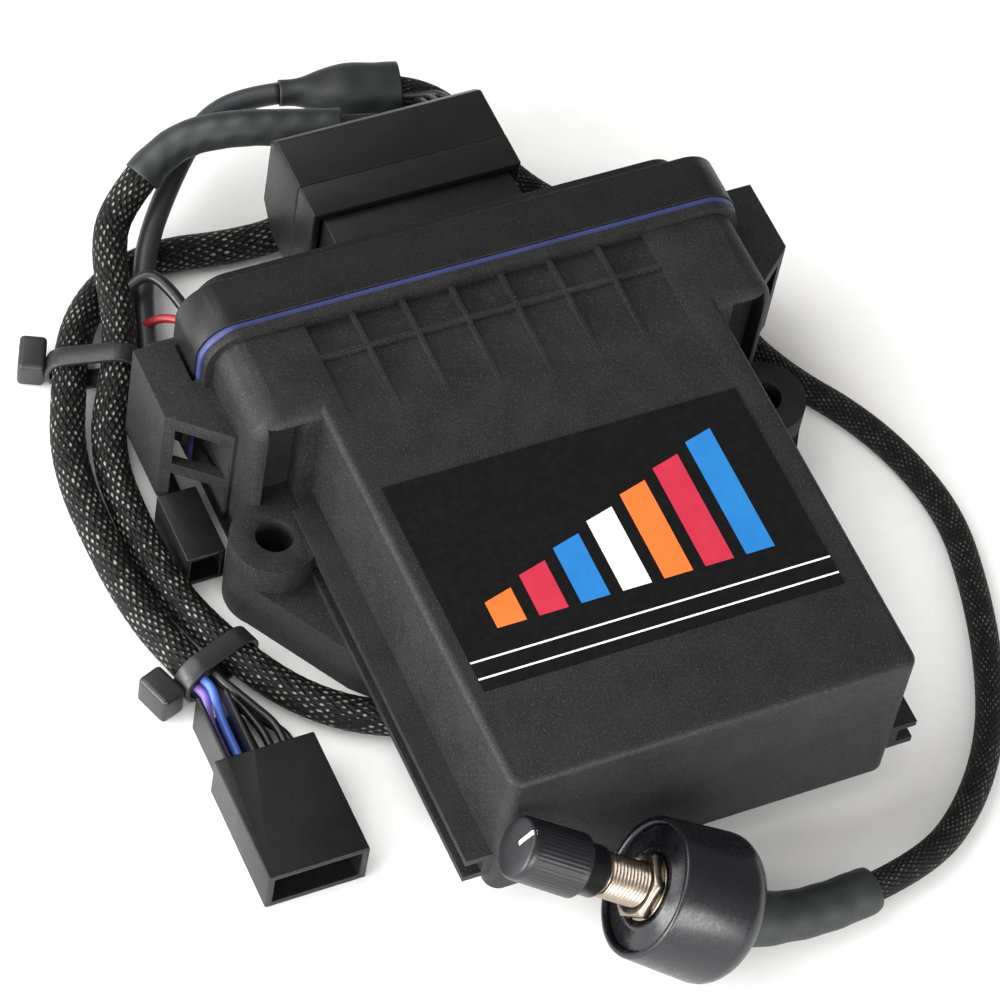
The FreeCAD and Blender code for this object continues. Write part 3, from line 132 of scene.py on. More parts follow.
def moulded_plastic(name, dark, light, rough, grain, relief, sheen=0.5, speck=None):
    """Moulded plastic: slow blotches from the melt's flow, a fine spark-eroded grain, and glass specks."""
    material, tree, surface = new_material(name, IOR=1.5, Specular_IOR_Level=sheen)
    blotch = object_noise(tree, 9.0, 3.0, 0.6)
    fine = object_noise(tree, grain, 2.0, 0.6)
    share = span(tree, blotch, 0.3, 0.7, 0.0, 1.0)
    colour = blend_colours(tree, share, dark, light)
    if speck is not None:
        flake = span(tree, object_noise(tree, 0.38, 1.0, 0.5), 0.55, 0.75, 0.0, 0.8)
        colour = blend_colours(tree, flake, colour, speck)
    tree.links.new(colour, surface.inputs["Base Color"])
    tree.links.new(span(tree, fine, 0.3, 0.7, rough - 0.07, rough + 0.09), surface.inputs["Roughness"])
    bump(tree, surface, fine, relief, 0.12)
    return material


def plain_metal(name, colour, rough, streak):
    """Bright plated metal, with a little unevenness in the polish."""
    material, tree, surface = new_material(name, Metallic=1.0, Base_Color=linear(colour))
    wear = object_noise(tree, streak, 3.0, 0.6)
    tree.links.new(span(tree, wear, 0.3, 0.7, rough - 0.06, rough + 0.1), surface.inputs["Roughness"])
    bump(tree, surface, wear, 0.08, 0.05)
    return material


def weave_material(name, dark, glint_colour, rough, long_pitch, around, wide, tall):
    """Braided sleeve: a painted highlight on each crossing of the yarns, staggered from row to row and ragged.
    """
    material, tree, surface = new_material(name, IOR=1.5, Specular_IOR_Level=0.22)
    place = add_node(tree, "UVMap", uv_map="weave").outputs["UV"]
    split = add_node(tree, "SeparateXYZ", {0: place})
    run = split.outputs["X"]
    ring = split.outputs["Y"]
    turn = 2.0 * math.pi

    def wave(kind, first, second=0.0):
        return add_node(tree, "Math", {0: first, 1: second}, operation=kind).outputs[0]

    across = wave("MULTIPLY", ring, around * turn)
    along = wave("MULTIPLY", run, turn / long_pitch)
    first = wave("SINE", wave("ADD", along, across))
    second = wave("SINE", wave("SUBTRACT", along, across))
    crossing = wave("ABSOLUTE", wave("MULTIPLY", first, second))
    patch = span(tree, object_noise(tree, 2.4, 1.0, 0.5), 0.4, 0.62, 0.7, 1.15)
    thread = span(tree, object_noise(tree, 0.8, 1.0, 0.5), 0.35, 0.65, 0.75, 1.15)
    ragged = wave("MULTIPLY", crossing, wave("MULTIPLY", patch, thread))
    # Painted highlight: the crowns of the crossings are tinted light in the base colour
    painted_glints = span(tree, ragged, wide, tall, 0.0, 1.0)
    tree.links.new(blend_colours(tree, painted_glints, dark, glint_colour), surface.inputs["Base Color"])
    tree.links.new(span(tree, painted_glints, 0.0, 1.0, rough, 0.3), surface.inputs["Roughness"])
    bump(tree, surface, crossing, 0.8, 0.3)
    return material


# Glass-filled nylon moulded against a spark-eroded tool: charcoal, matt, slightly mottled
ENCLOSURE_NYLON = moulded_plastic("glass_filled_nylon_moulded", "#161617", "#202021", 0.54, 0.5, 0.7, 0.26,
                                  "#343434")
# The header's plain nylon is smoother and darker than the housing
HEADER_NYLON = moulded_plastic("nylon_header_moulded", "#0f0f10", "#151516", 0.42, 0.35, 0.3, 0.3, "#242424")
# Polybutylene terephthalate of the connectors: black with a faint skin sheen
CONNECTOR_PBT = moulded_plastic("pbt_connector_moulded", "#0f0f10", "#161616", 0.4, 0.35, 0.25, 0.32)
# Satin black acrylonitrile butadiene styrene of the dial's cup and disc, with a cool tint
POD_ABS = moulded_plastic("abs_satin_black_moulded", "#0e0e12", "#121216", 0.28, 0.7, 0.01)
KNOB_ABS = moulded_plastic("abs_soft_knob_moulded", "#0b0b0e", "#0f0f13", 0.36, 0.4, 0.05)
# Nylon 6/6 of the cable ties: black and a little waxy
TIE_NYLON = moulded_plastic("nylon_tie_moulded", "#19191a", "#202021", 0.4, 0.6, 0.12)
# Silicone rubber of the perimeter seal: muted blue violet and soft
SEAL_SILICONE = moulded_plastic("silicone_seal_moulded", "#2a2f5c", "#353b6e", 0.5, 0.8, 0.15)
# Cross-linked polyolefin sleeve, shrunk on with a hot air gun: matt black with soft wrinkles
SHRINK_SLEEVE = moulded_plastic("heat_shrink_polyolefin", "#1b1c1d", "#232425", 0.5, 2.4, 0.4)
# Vinyl tube: smooth dark grey
TUBE_VINYL = moulded_plastic("vinyl_tube_extruded", "#2b2c2e", "#323335", 0.42, 1.8, 0.1)
# Woven polyester monofilament sleeve: its repeat along the loom in millimetres, and its yarns round it
COARSE_PITCH = 5.6
COARSE_YARNS = 8
FINE_PITCH = 3.6
FINE_YARNS = 9
# The light second colour of each braid is a painted highlight on its yarn crowns
BRAID_COARSE = weave_material("polyester_braid_coarse", "#040404", "#868684", 0.6, COARSE_PITCH, COARSE_YARNS,
                              0.62, 1.1)
BRAID_FINE = weave_material("polyester_braid_fine", "#060606", "#505050", 0.6, FINE_PITCH, FINE_YARNS,
                            0.6, 1.1)
# Bright nickel plate over brass, slightly warm
NICKEL_PLATE = plain_metal("nickel_plated_brass", "#958a7d", 0.27, 1.2)
TIN_PLATE = plain_metal("tin_plated_brass", "#d9dade", 0.26, 0.8)
COPPER_BRONZE = plain_metal("phosphor_bronze_spring", "#b78350", 0.32, 0.9)
# Vinyl insulation of the single wires
WIRE_BLACK = moulded_plastic("vinyl_wire_black", "#111112", "#171718", 0.36, 1.2, 0.05)
WIRE_PURPLE = moulded_plastic("vinyl_wire_purple", "#6f55a0", "#7a60ac", 0.36, 1.2, 0.05)
WIRE_RED = moulded_plastic("vinyl_wire_red", "#8e1f24", "#9a262b", 0.36, 1.2, 0.05)
WIRE_BLUE = moulded_plastic("vinyl_wire_blue", "#3f62b8", "#4a6ec4", 0.36, 1.2, 0.05)
# Epoxy glass board under a green solder mask
BOARD_MASK = moulded_plastic("epoxy_glass_board_green_mask", "#12351f", "#184428", 0.35, 0.7, 0.1)
# Painted shade: a near-black sheet standing in for the shade inside the dial disc's square hole
PAINTED_RECESS_SHADE = moulded_plastic("recess_shade", "#040404", "#060606", 0.8, 0.5, 0.0, 0.1)
PART_EPOXY = moulded_plastic("moulded_epoxy_parts", "#17181a", "#222326", 0.5, 0.5, 0.15)
TRACK_CARBON = moulded_plastic("carbon_film_track", "#1a1613", "#241e19", 0.6, 0.3, 0.1)
# Printed polyester film under clear laminate: near black and faintly glossy
LABEL_FILM = moulded_plastic("polyester_label_film", "#060607", "#09090a", 0.3, 1.5, 0.03, 0.3)
PRINT_WHITE = moulded_plastic("label_ink_white", "#e9eaec", "#f2f2f3", 0.36, 1.5, 0.03)
PRINT_ORANGE = moulded_plastic("label_ink_orange", "#f06a2a", "#f4722f", 0.36, 1.5, 0.03)
PRINT_CRIMSON = moulded_plastic("label_ink_crimson", "#b5243c", "#bd2a41", 0.36, 1.5, 0.03)
PRINT_BLUE = moulded_plastic("label_ink_blue", "#1b6fb4", "#2177bc", 0.36, 1.5, 0.03)


def finish(piece, *materials):
    """Give a piece its materials in slot order."""
    piece.data.materials.clear()
    for material in materials:
        piece.data.materials.append(material)
    return piece


# Meshes worked out as arrays

# Points closer than this lie on each other, and a node's seams are open by up to SEAM_GAP
TOUCHING = 0.0005
SEAM_GAP = 0.002
# Faces that turn by less than FLATNESS degrees are one face, and edges past EDGE_TURN degrees are rounded
FLATNESS = 0.6
EDGE_TURN = 30.0


def mesh_piece(name, points, faces, material, body, smooth=True, bands=None):
    """Put arrays of points in millimetres and faces into a mesh that rides on a body."""
    mesh = bpy.data.meshes.new(name)
    mesh.from_pydata((np.asarray(points, float) * MM).tolist(), [], [list(face) for face in faces])
    mesh.validate()
    mesh.polygons.foreach_set("use_smooth", np.full(len(mesh.polygons), smooth))
    piece = bpy.data.objects.new(name, mesh)
    scene.collection.objects.link(piece)
    for skin in material if isinstance(material, tuple) else (material,):
        mesh.materials.append(skin)
    if bands is not None:
        mesh.polygons.foreach_set("material_index", bands)
    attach(piece, body)
    return piece


def grid_faces(rows, columns):
    """Number the quads of a grid of points whose rows run on and whose columns close round."""
    first, second = np.meshgrid(np.arange(rows - 1), np.arange(columns), indexing="ij")
    beside = (second + 1) % columns
    after = first + 1
    quads = np.stack([first * columns + second, first * columns + beside, after * columns + beside,
                      after * columns + second], axis=-1)
    return quads.reshape(-1, 4).tolist()


def tube_faces(rows, around, first=0):
    """Number the faces of a tube whose points start at first, with one face over each end."""
    faces = [[first + corner for corner in face[::-1]] for face in grid_faces(rows, around)]
    last = first + rows * around - 1
    faces.append(list(range(first, first + around)))
    faces.append(list(range(last, last - around, -1)))
    return faces


def read_route(name, points, steps):
    """Lay a smooth spline through a route's control points and read evenly spaced points along it."""
    curve = bpy.data.curves.new(name + "_line", "CURVE")
    curve.dimensions = "3D"
    spline = curve.splines.new("NURBS")
    spline.points.add(len(points) - 1)
    for point, place in zip(spline.points, points):
        point.co = (*place, 1.0)
    spline.order_u = 3
    spline.use_endpoint_u = True
    spline.resolution_u = 24
    holder = bpy.data.objects.new(name + "_line", curve)
    mesh = bpy.data.meshes.new_from_object(holder)
    read = np.empty(len(mesh.vertices) * 3)
    mesh.vertices.foreach_get("co", read)
    read = read.reshape(-1, 3)
    bpy.data.objects.remove(holder)
    bpy.data.meshes.remove(mesh)
    bpy.data.curves.remove(curve)
    travel = np.concatenate([[0.0], np.cumsum(np.linalg.norm(np.diff(read, axis=0), axis=1))])
    even = np.linspace(0.0, travel[-1], steps)
    return np.stack([np.interp(even, travel, read[:, axis]) for axis in range(3)], axis=1), even


def carry(path):
    """At each point of a path give the level side direction and the direction square to both."""
    heading = np.gradient(path, axis=0)
    heading /= np.linalg.norm(heading, axis=1, keepdims=True)
    side = np.cross(heading, [0.0, 0.0, 1.0])
    side /= np.linalg.norm(side, axis=1, keepdims=True)
    return side, np.cross(side, heading)


def rings(path, around):
    """At each point of a path give a ring of directions square to it, and the turn of each direction."""
    side, up = carry(path)
    turn = np.linspace(0.0, 2.0 * np.pi, around, endpoint=False)
    ring = side[:, None, :] * np.cos(turn)[None, :, None] + up[:, None, :] * np.sin(turn)[None, :, None]
    return ring, turn


def sleeve(name, path, travel, radius, material, body, around=32, relief=None):
    """Carry a ring of a given radius along a path: point = path + radius(s, turn) * ring direction.

    The radius may change along the path, and relief adds a height that depends on travel and turn."""
    ring, turn = rings(path, around)
    reach = np.broadcast_to(np.asarray(radius, float).reshape(-1, 1), (len(path), around)).copy()
    if relief is not None:
        reach += relief(travel[:, None], turn[None, :])
    points = (path[:, None, :] + reach[:, :, None] * ring).reshape(-1, 3)
    piece = mesh_piece(name, points, tube_faces(len(path), around), material, body)
    layer = piece.data.uv_layers.new(name="weave")
    index = np.empty(len(piece.data.loops), int)
    piece.data.loops.foreach_get("vertex_index", index)
    share = (index % around) / around
    along = travel[index // around]
    starts = np.empty(len(piece.data.polygons), int)
    piece.data.polygons.foreach_get("loop_start", starts)
    # Where a quad closes the ring, its last corners count on past one, so that the weave runs on
    quads = np.arange(len(index)) < starts[(len(path) - 1) * around - 1] + 4
    furthest = np.repeat(share[quads].reshape(-1, 4).max(axis=1), 4)
    share[quads] = np.where((furthest > 0.75) & (share[quads] < 0.25), share[quads] + 1.0, share[quads])
    layer.data.foreach_set("uv", np.stack([along, share], axis=1).ravel())
    return piece


def lathe(name, profile, material, body, place, turns=96, relief=None):
    """Turn a profile of (radius, level) about an axis: point = (r cos t, r sin t, level), then place it."""
    profile = np.asarray(profile, float)
    turn = np.linspace(0.0, 2.0 * np.pi, turns, endpoint=False)
    radius = np.broadcast_to(profile[:, :1], (len(profile), turns)).copy()
    level = np.broadcast_to(profile[:, 1:], (len(profile), turns)).copy()
    if relief is not None:
        radius, level = relief(radius, level, turn[None, :])
    points = np.stack([radius * np.cos(turn), radius * np.sin(turn), level], axis=-1).reshape(-1, 3)
    piece = mesh_piece(name, put(points, place), grid_faces(len(profile), turns), material, body)
    if min(profile[0, 0], profile[-1, 0]) < TOUCHING:
        weld(piece, TOUCHING)
    return piece


def put(points, place):
    """Move points from a place's own axes to the part's."""
    return points @ place[:3, :3].T + place[:3, 3]


def weld(piece, distance, flatness=None):
    """Weld points that lie on each other, and clear the edges inside flat faces where a flatness is given."""
    work = bmesh.new()
    work.from_mesh(piece.data)
    bmesh.ops.remove_doubles(work, verts=work.verts, dist=distance * MM)
    if flatness is not None:
        bmesh.ops.dissolve_limit(work, angle_limit=math.radians(flatness), verts=work.verts, edges=work.edges)
    work.to_mesh(piece.data)
    work.free()


def edged(node, width, material, steps=2):
    """Copy a node's mesh, weld it, clear its flat faces and give its edges the small moulded radius."""
    piece = bpy.data.objects.new(node + "_moulded", nodes[node].data.copy())
    scene.collection.objects.link(piece)
    weld(piece, SEAM_GAP, FLATNESS)
    piece.data.polygons.foreach_set("use_smooth", np.full(len(piece.data.polygons), True))
    rounding = piece.modifiers.new("edge_radius", "BEVEL")
    rounding.width = width * MM
    rounding.segments = steps
    rounding.limit_method = "ANGLE"
    rounding.angle_limit = math.radians(EDGE_TURN)
    rounding.harden_normals = True
    rounding.use_clamp_overlap = True
    finish(piece, material)
    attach(piece, nodes[node]["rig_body"])
    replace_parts(piece, node)
    MADE[node] = piece
    return piece


# Camera, floor and lights

RIGHT = (0.9080211, -0.4007857, 0.1219363)
DOWN = (-0.2596015, -0.7667706, -0.5870859)
FORWARD = (0.3287928, 0.5014315, -0.8002885)
CAMERA_PLACE = (-0.31872, -0.47901, 0.78013)
LENS_LENGTH = 175.26
SENSOR_WIDTH = 36.0
PICTURE_SHIFT = -0.02
# The room is brighter to the left and front, and dim behind to the right, which the tops mirror
BRIGHT_SIDE = (-0.82, -0.5, -0.1)
DIM_AIR = 0.32
BRIGHT_AIR = 1.3
# Each lamp's name, place in metres, watts, width and height
LAMPS = [
    ("large_softbox", (-0.55, 0.35, 0.95), 9.0, 0.9, 0.9),
    ("front_fill", (-0.1, -1.0, 0.3), 11.0, 0.9, 0.4),
    ("left_strip", (-0.95, -0.1, 0.24), 17.0, 1.0, 0.4),
]
LAMP_TARGET = (0.0, 0.0, 0.02)


def make_camera():
    """A long lens from the front left, high up, with the picture shifted to hold the dial."""
    lens = bpy.data.cameras.new("photo_view")
    lens.lens = LENS_LENGTH
    lens.sensor_width = SENSOR_WIDTH
    lens.shift_y = PICTURE_SHIFT
    camera = bpy.data.objects.new("photo_view", lens)
    scene.collection.objects.link(camera)
    turn = Matrix((RIGHT, [-part for part in DOWN], [-part for part in FORWARD])).transposed()
    camera.matrix_world = Matrix.Translation(CAMERA_PLACE) @ turn.to_4x4()
    scene.camera = camera


def make_floor():
    """A wide pale sheet that the object lies on."""
    reach = 2600.0
    corners = ((-reach, -reach), (reach, -reach), (reach, reach), (-reach, reach))
    mesh = bpy.data.meshes.new("studio_floor")
    mesh.from_pydata([(x * MM, y * MM, 0.0) for x, y in corners], [], [(0, 1, 2, 3)])
    floor = bpy.data.objects.new("studio_floor", mesh)
    scene.collection.objects.link(floor)
    paper, tree, surface = new_material("pale_paper_floor", Roughness=0.9)
    fibre = object_noise(tree, 4.0, 3.0, 0.6)
    tree.links.new(blend_colours(tree, fibre, "#f4f4f4", "#fafafa"), surface.inputs["Base Color"])
    mesh.materials.append(paper)


def aim(place, target):
    """Turn a lamp at a place so that it shines at a target."""
    direction = np.asarray(target, float) - np.asarray(place, float)
    back = -direction / np.linalg.norm(direction)
    side = np.cross([0.0, 0.0, 1.0], back)
    side /= np.linalg.norm(side)
    up = np.cross(back, side)
    turn = np.eye(4)
    turn[:3, 0], turn[:3, 1], turn[:3, 2], turn[:3, 3] = side, up, back, place
    return Matrix(turn.tolist())


def make_lights():
    """Three soft lamps, and a room that grows brighter toward its bright side."""
    for name, place, power, width, height in LAMPS:
        light = bpy.data.lights.new(name, "AREA")
        light.shape = "RECTANGLE"
        light.size = width
        light.size_y = height
        light.energy = power
        lamp = bpy.data.objects.new(name, light)
        scene.collection.objects.link(lamp)
        lamp.matrix_world = aim(place, LAMP_TARGET)
    world = bpy.data.worlds.new("studio_air")
    scene.world = world
    world.use_nodes = True
    tree = world.node_tree
    air = tree.nodes["Background"]
    air.inputs["Color"].default_value = linear("#f5f4f2")
    heading = add_node(tree, "TexCoord").outputs["Generated"]
    facing = add_node(tree, "VectorMath", {0: heading, 1: BRIGHT_SIDE}, operation="DOT_PRODUCT")
    strength = span(tree, facing.outputs["Value"], -0.6, 0.8, DIM_AIR, BRIGHT_AIR)
    tree.links.new(strength, air.inputs["Strength"])


scene.view_settings.view_transform = "Standard"
make_camera()
make_floor()
make_lights()

# Routes of the looms, as control points in millimetres

BOOT_LEAD = 12.6
BOOT_END = (28.3, -103.9, 4.8)
POD_CORD = [
    BOOT_END, (41.7, -102.1, 4.5), (55.6, -93.2, 3.0), (67.2, -80.0, 2.9), (75.0, -64.0, 2.9),
    (80.6, -46.5, 2.9), (83.8, -30.0, 2.9), (81.4, -14.0, 2.9), (75.8, 0.0, 2.9), (67.6, 12.0, 2.9),
    (62.4, 25.0, 2.9), (61.6, 41.0, 2.9), (57.2, 54.0, 2.9), (48.6, 63.0, 2.9), (38.4, 69.6, 4.0),
    (29.6, 80.5, 9.0), (20.2, 95.8, 20.1), (5.9, 99.5, 17.9),
]
JACKET_A_MOUTH = (14.5, 97.0, 18.4)
JACKET_A_MIDDLE = (2.5, 100.2, 18.7)
JACKET_A_NECK = (-9.5, 103.5, 18.4)
SMOOTH_TUBE = [
    JACKET_A_NECK, (-17.0, 105.5, 17.2), (-25.3, 104.0, 15.7), (-32.2, 98.2, 13.9), (-39.4, 90.6, 11.8),
    (-46.0, 82.4, 9.9), (-50.8, 73.5, 7.8), (-54.0, 63.5, 6.0), (-56.6, 53.5, 4.3), (-59.4, 43.5, 2.9),
    (-62.2, 35.0, 2.8), (-63.7, 28.5, 4.5), (-63.7, 22.3, 4.5),
]
JACKET_B = [(-13.0, 87.2, 27.2), (-25.5, 91.6, 26.8), (-37.5, 95.0, 22.8), (-44.6, 91.6, 18.2)]
# The sleeve's open end, close behind the plug
JACKET_B_END = (-4.6, 84.7, 27.4)
BRAID_ONE = [
    JACKET_B[-1], (-51.7, 88.2, 13.6), (-56.2, 79.0, 12.2), (-58.0, 70.0, 11.0), (-60.4, 61.0, 9.5),
    (-64.6, 52.0, 7.5), (-69.4, 44.0, 5.2), (-72.1, 34.5, 3.7), (-72.6, 23.5, 3.5), (-72.4, 12.5, 3.5),
    (-71.2, 1.0, 4.0), (-68.3, -9.5, 5.3), (-64.2, -18.5, 5.3), (-58.3, -26.5, 4.1), (-51.0, -33.0, 3.5),
    (-42.5, -37.7, 3.5), (-33.0, -40.8, 3.5), (-22.5, -42.5, 3.5), (-11.0, -43.6, 3.5), (0.5, -45.4, 3.5),
    (12.0, -47.6, 3.5), (23.0, -49.4, 3.5), (33.6, -50.2, 3.5), (43.8, -50.4, 3.9),
]
BRAID_OUTER = [
    (4.0, 88.0, 9.0), (-6.5, 82.5, 6.0), (-18.0, 79.2, 3.9), (-30.0, 79.8, 3.5), (-42.0, 82.0, 3.5),
    (-53.0, 80.4, 3.5), (-62.4, 74.0, 4.0), (-69.2, 64.5, 5.4), (-73.9, 54.0, 5.4), (-78.4, 43.0, 4.0),
    (-80.1, 31.5, 3.5), (-80.1, 20.0, 3.5), (-79.7, 8.5, 3.5), (-78.4, -3.0, 4.2), (-76.0, -12.5, 5.3),
    (-73.8, -19.4, 5.4),
]

# The dial's own axes: local z runs out along the knob, local x runs down the face
POD_TURN = math.radians(160.0)
POD_RISE = math.radians(28.0)
POD_LEAN = math.pi / 2.0 - POD_RISE
POD_CENTRE = (-18.8, -96.8, 20.5184)
POD_DEPTH = 20.0


def pod_place():
    """Lean about y, then turn about z, then move to the rim's centre."""
    lean = np.array([[math.cos(POD_LEAN), 0.0, math.sin(POD_LEAN)], [0.0, 1.0, 0.0],
                     [-math.sin(POD_LEAN), 0.0, math.cos(POD_LEAN)]])
    turn = np.array([[math.cos(POD_TURN), -math.sin(POD_TURN), 0.0],
                     [math.sin(POD_TURN), math.cos(POD_TURN), 0.0], [0.0, 0.0, 1.0]])
    place = np.eye(4)
    place[:3, :3] = turn @ lean
    place[:3, 3] = POD_CENTRE
    return place


POD = pod_place()
POD_REAR = POD[:3, 3] - POD[:3, 2] * POD_DEPTH
BOOT_BEND = POD_REAR - POD[:3, 2] * BOOT_LEAD


def cord_piece(name, node, points, radius, material, around, steps_each, relief=None, **facts):
    length = np.linalg.norm(np.diff(np.asarray(points), axis=0), axis=1).sum()
    path, travel = read_route(name, points, int(length * steps_each))
    piece = sleeve(name, path, travel, radius, material, "module", around, relief)
    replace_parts(piece, node)
    return piece


def yarn_relief(long_pitch, around, height):
    """Raise each crossing of the yarns: height * |sin(a + b) * sin(a - b)|."""
    def lift(travel, turn):
        along = 2.0 * np.pi * travel / long_pitch
        across = around * turn
        return height * np.abs(np.sin(along + across) * np.sin(along - across))
    return lift


def make_cords():
    """The four free looms, each laid as a sleeve along its route."""
    small = {"stiffness": "medium", "lay": "loose"}
    fine = yarn_relief(FINE_PITCH, FINE_YARNS, 0.06)
    coarse = yarn_relief(COARSE_PITCH, COARSE_YARNS, 0.08)
    cord_piece("pod_cord_braid", "pod_cord", POD_CORD, 2.9, BRAID_FINE, 48, 2.2, fine,
               far_end="object", with_pieces=[MADE["pod_boot"]], **small)
    cord_piece("smooth_tube_line", "smooth_tube", SMOOTH_TUBE, 2.3, TUBE_VINYL, 28, 1.0, far_end="connector",
               with_pieces=[MADE["three_way_receptacle"], nodes["three_way_pins"]], **small)
    cord_piece("inner_braid_line", "braid_one", BRAID_ONE, 3.5, BRAID_COARSE, 60, 2.4, coarse,
               far_end="plug", with_pieces=[MADE["three_way_plug"], MADE["loom_jacket_b"]], **small)
    ties = [MADE[name] for name in ("tie_one_band", "tie_one_head", "tie_two_band", "tie_two_head")]
    ends = [MADE["six_way_housing"], nodes["six_way_terminals"], nodes["purple_wire"], nodes["blue_wire"],
            nodes["black_wires"]]
    cord_piece("outer_braid_line", "braid_outer", BRAID_OUTER, 3.5, BRAID_COARSE, 60, 2.4, coarse,
               far_end="connector", with_pieces=[*ends, *ties], **small)


def bundle(name, routes, radius, material, body, around=16, steps=48):
    """Several plain wires of one gauge as one mesh."""
    points = []
    faces = []
    for place, route in enumerate(routes):
        path = read_route(f"{name}_{place}", route, steps)[0]
        faces += tube_faces(steps, around, len(points))
        points += (path[:, None, :] + radius * rings(path, around)[0]).reshape(-1, 3).tolist()
    return mesh_piece(name, points, faces, material, body)


def make_plug_wires():
    """Three wires from the plug's rear into each of its three looms."""
    rear = max(vertex.co.y for vertex in nodes["plug_rear_cover"].data.vertices) / MM - 0.4
    routes = []
    for step in (-1, 0, 1):
        out = 18.0 + 2.4 * step
        routes.append([(out, rear, 25.4), (out, rear + 5.0, 25.2), (out + 0.8, rear + 11.0, 22.0),
                       (15.5, 92.6, 18.4 + 1.9 * step), (8.0, 95.4, 18.6 + 1.3 * step)])
        out = 3.9 + 2.4 * step
        routes.append([(out, rear, 27.2), (out - 0.2, rear + 3.6, 27.2), (out - 4.0, 84.8 + 0.4 * step, 27.3),
                       (-8.0, 85.8 + 1.4 * step, 27.3)])
        out = 15.2 + 2.4 * step
        routes.append([(out, rear, 15.0), (out, rear + 6.5, 14.8),
                       (10.5, 89.6 + 0.3 * step, 11.5 + 1.9 * step), (3.0, 87.6, 8.8 + 1.9 * step)])
    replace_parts(bundle("plug_wire_bundle", routes, 0.9, WIRE_BLACK, "module"), "plug_wires")


def make_sleeves():
    """The shrunk sleeves over the looms, with soft wrinkles."""
    path, travel = read_route("jacket_b", [JACKET_B_END, *JACKET_B], 90)
    flare = 3.75 + 0.25 * np.exp(-((travel - travel[-1]) / 3.0) ** 2)
    jacket = sleeve("shrink_sleeve_b", path, travel, flare, SHRINK_SLEEVE, "module", 48,
                    lambda run, turn: 0.12 * np.sin(run * 1.1 + 2.0 * np.sin(turn)) * np.cos(turn * 2.0))
    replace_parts(jacket, "loom_jacket_b")
    MADE["loom_jacket_b"] = jacket
    path, travel = read_route("jacket_a", [JACKET_A_MOUTH, JACKET_A_MIDDLE, JACKET_A_NECK], 70)
    share = np.clip((travel / travel[-1] - 0.42) / 0.52, 0.0, 1.0)
    full = 1.0 - share * share * (3.0 - 2.0 * share)
    jacket = sleeve("shrink_sleeve_a", path, travel, 2.75 + 3.5 * full, SHRINK_SLEEVE, "module", 64,
                    lambda run, turn: -1.9 * full[:, None] * np.sin(turn) ** 2
                    + 0.12 * np.sin(run * 0.8 + 1.5 * np.sin(turn)) * np.cos(turn * 2.0))
    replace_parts(jacket, "loom_jacket_a")
    path, travel = read_route("pod_boot", [POD_REAR, BOOT_BEND, np.array(BOOT_END)], 60)
    taper = np.interp(travel, [0.0, 3.0, 12.0, travel[-1] - 1.2, travel[-1]], [6.0, 5.8, 4.9, 4.7, 4.4])
    boot = sleeve("pod_boot_sleeve", path, travel, taper, SHRINK_SLEEVE, "module", 56,
                  lambda run, turn: 0.06 * np.sin(run * 0.9 + turn))
    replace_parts(boot, "pod_boot")
    MADE["pod_boot"] = boot


# Dial


def thread_relief(radius, level, turn):
    """Cut a thread: the depth follows a triangle wave of level / pitch + turn / full turn."""
    pitch = 0.78
    phase = level / pitch + turn / (2.0 * np.pi)
    depth = 0.42 * np.abs(2.0 * (phase - np.floor(phase)) - 1.0)
    outside = radius > 4.0
    return np.where(outside, radius - depth, radius), level


def make_dial():
    """The cup with its disc, the threaded bushing with washer and nut, and the knob on its shaft."""
    rim = 13.7
    cup = [
        (0.0, -17.6), (11.6, -17.6), (11.6, -2.6), (12.2, -2.4), (12.2, -0.9), (12.35, -0.25), (12.75, 0.0),
        (13.2, 0.0), (13.55, -0.15), (rim, -0.6), (14.6, -15.0),
    ]
    bend = np.linspace(0.0, np.pi / 2.0, 14)[1:]
    cup += [(9.6 + 5.0 * math.cos(turn), -15.0 - 5.0 * math.sin(turn)) for turn in bend] + [(0.0, -20.0)]
    shell = lathe("pod_cup_shell", cup[::-1], POD_ABS, "module", POD, 128)
    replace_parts(shell, "pod_cup")
    disc_profile = [(4.45, -2.6), (12.1, -2.6), (12.1, -1.15), (11.95, -1.0), (8.4, -1.0), (8.2, -0.45),
                    (7.2, -0.45), (7.0, -1.0), (4.45, -1.0), (4.45, -2.6)]
    disc = lathe("pod_face_disc", disc_profile, POD_ABS, "module", POD, 128)
    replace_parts(disc, "pod_face")
    levels = np.linspace(10.2, -2.5, 330)
    outer = np.stack([np.minimum(4.45, 4.45 - (levels - 9.7)), levels], axis=1)
    profile = np.concatenate([[[3.15, -2.5], [3.15, 10.0], [3.3, 10.2]], outer, [[3.15, -2.5]]])
    bushing = lathe("threaded_bushing", profile[::-1], NICKEL_PLATE, "module", POD, 96, thread_relief)
    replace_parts(bushing, "pot_bushing")
    make_nut_and_washer()
    make_knob()
    # A dark square laid on the disc where the locating hole falls into shade: painted shade
    square = [(-10.1, -4.5), (-8.5, -4.5), (-8.5, -2.9), (-10.1, -2.9)]
    corners = np.array([(*corner, -0.985) for corner in square])
    mesh_piece("locating_tab_recess_painted_shade", put(corners, POD), [(0, 1, 2, 3)], PAINTED_RECESS_SHADE, "module", smooth=False)


def hexagon(turn, flats):
    """Radius of a hexagon of a given width across flats at each turn."""
    sixth = np.pi / 3.0
    return flats / 2.0 / np.cos(np.mod(turn, sixth) - sixth / 2.0)


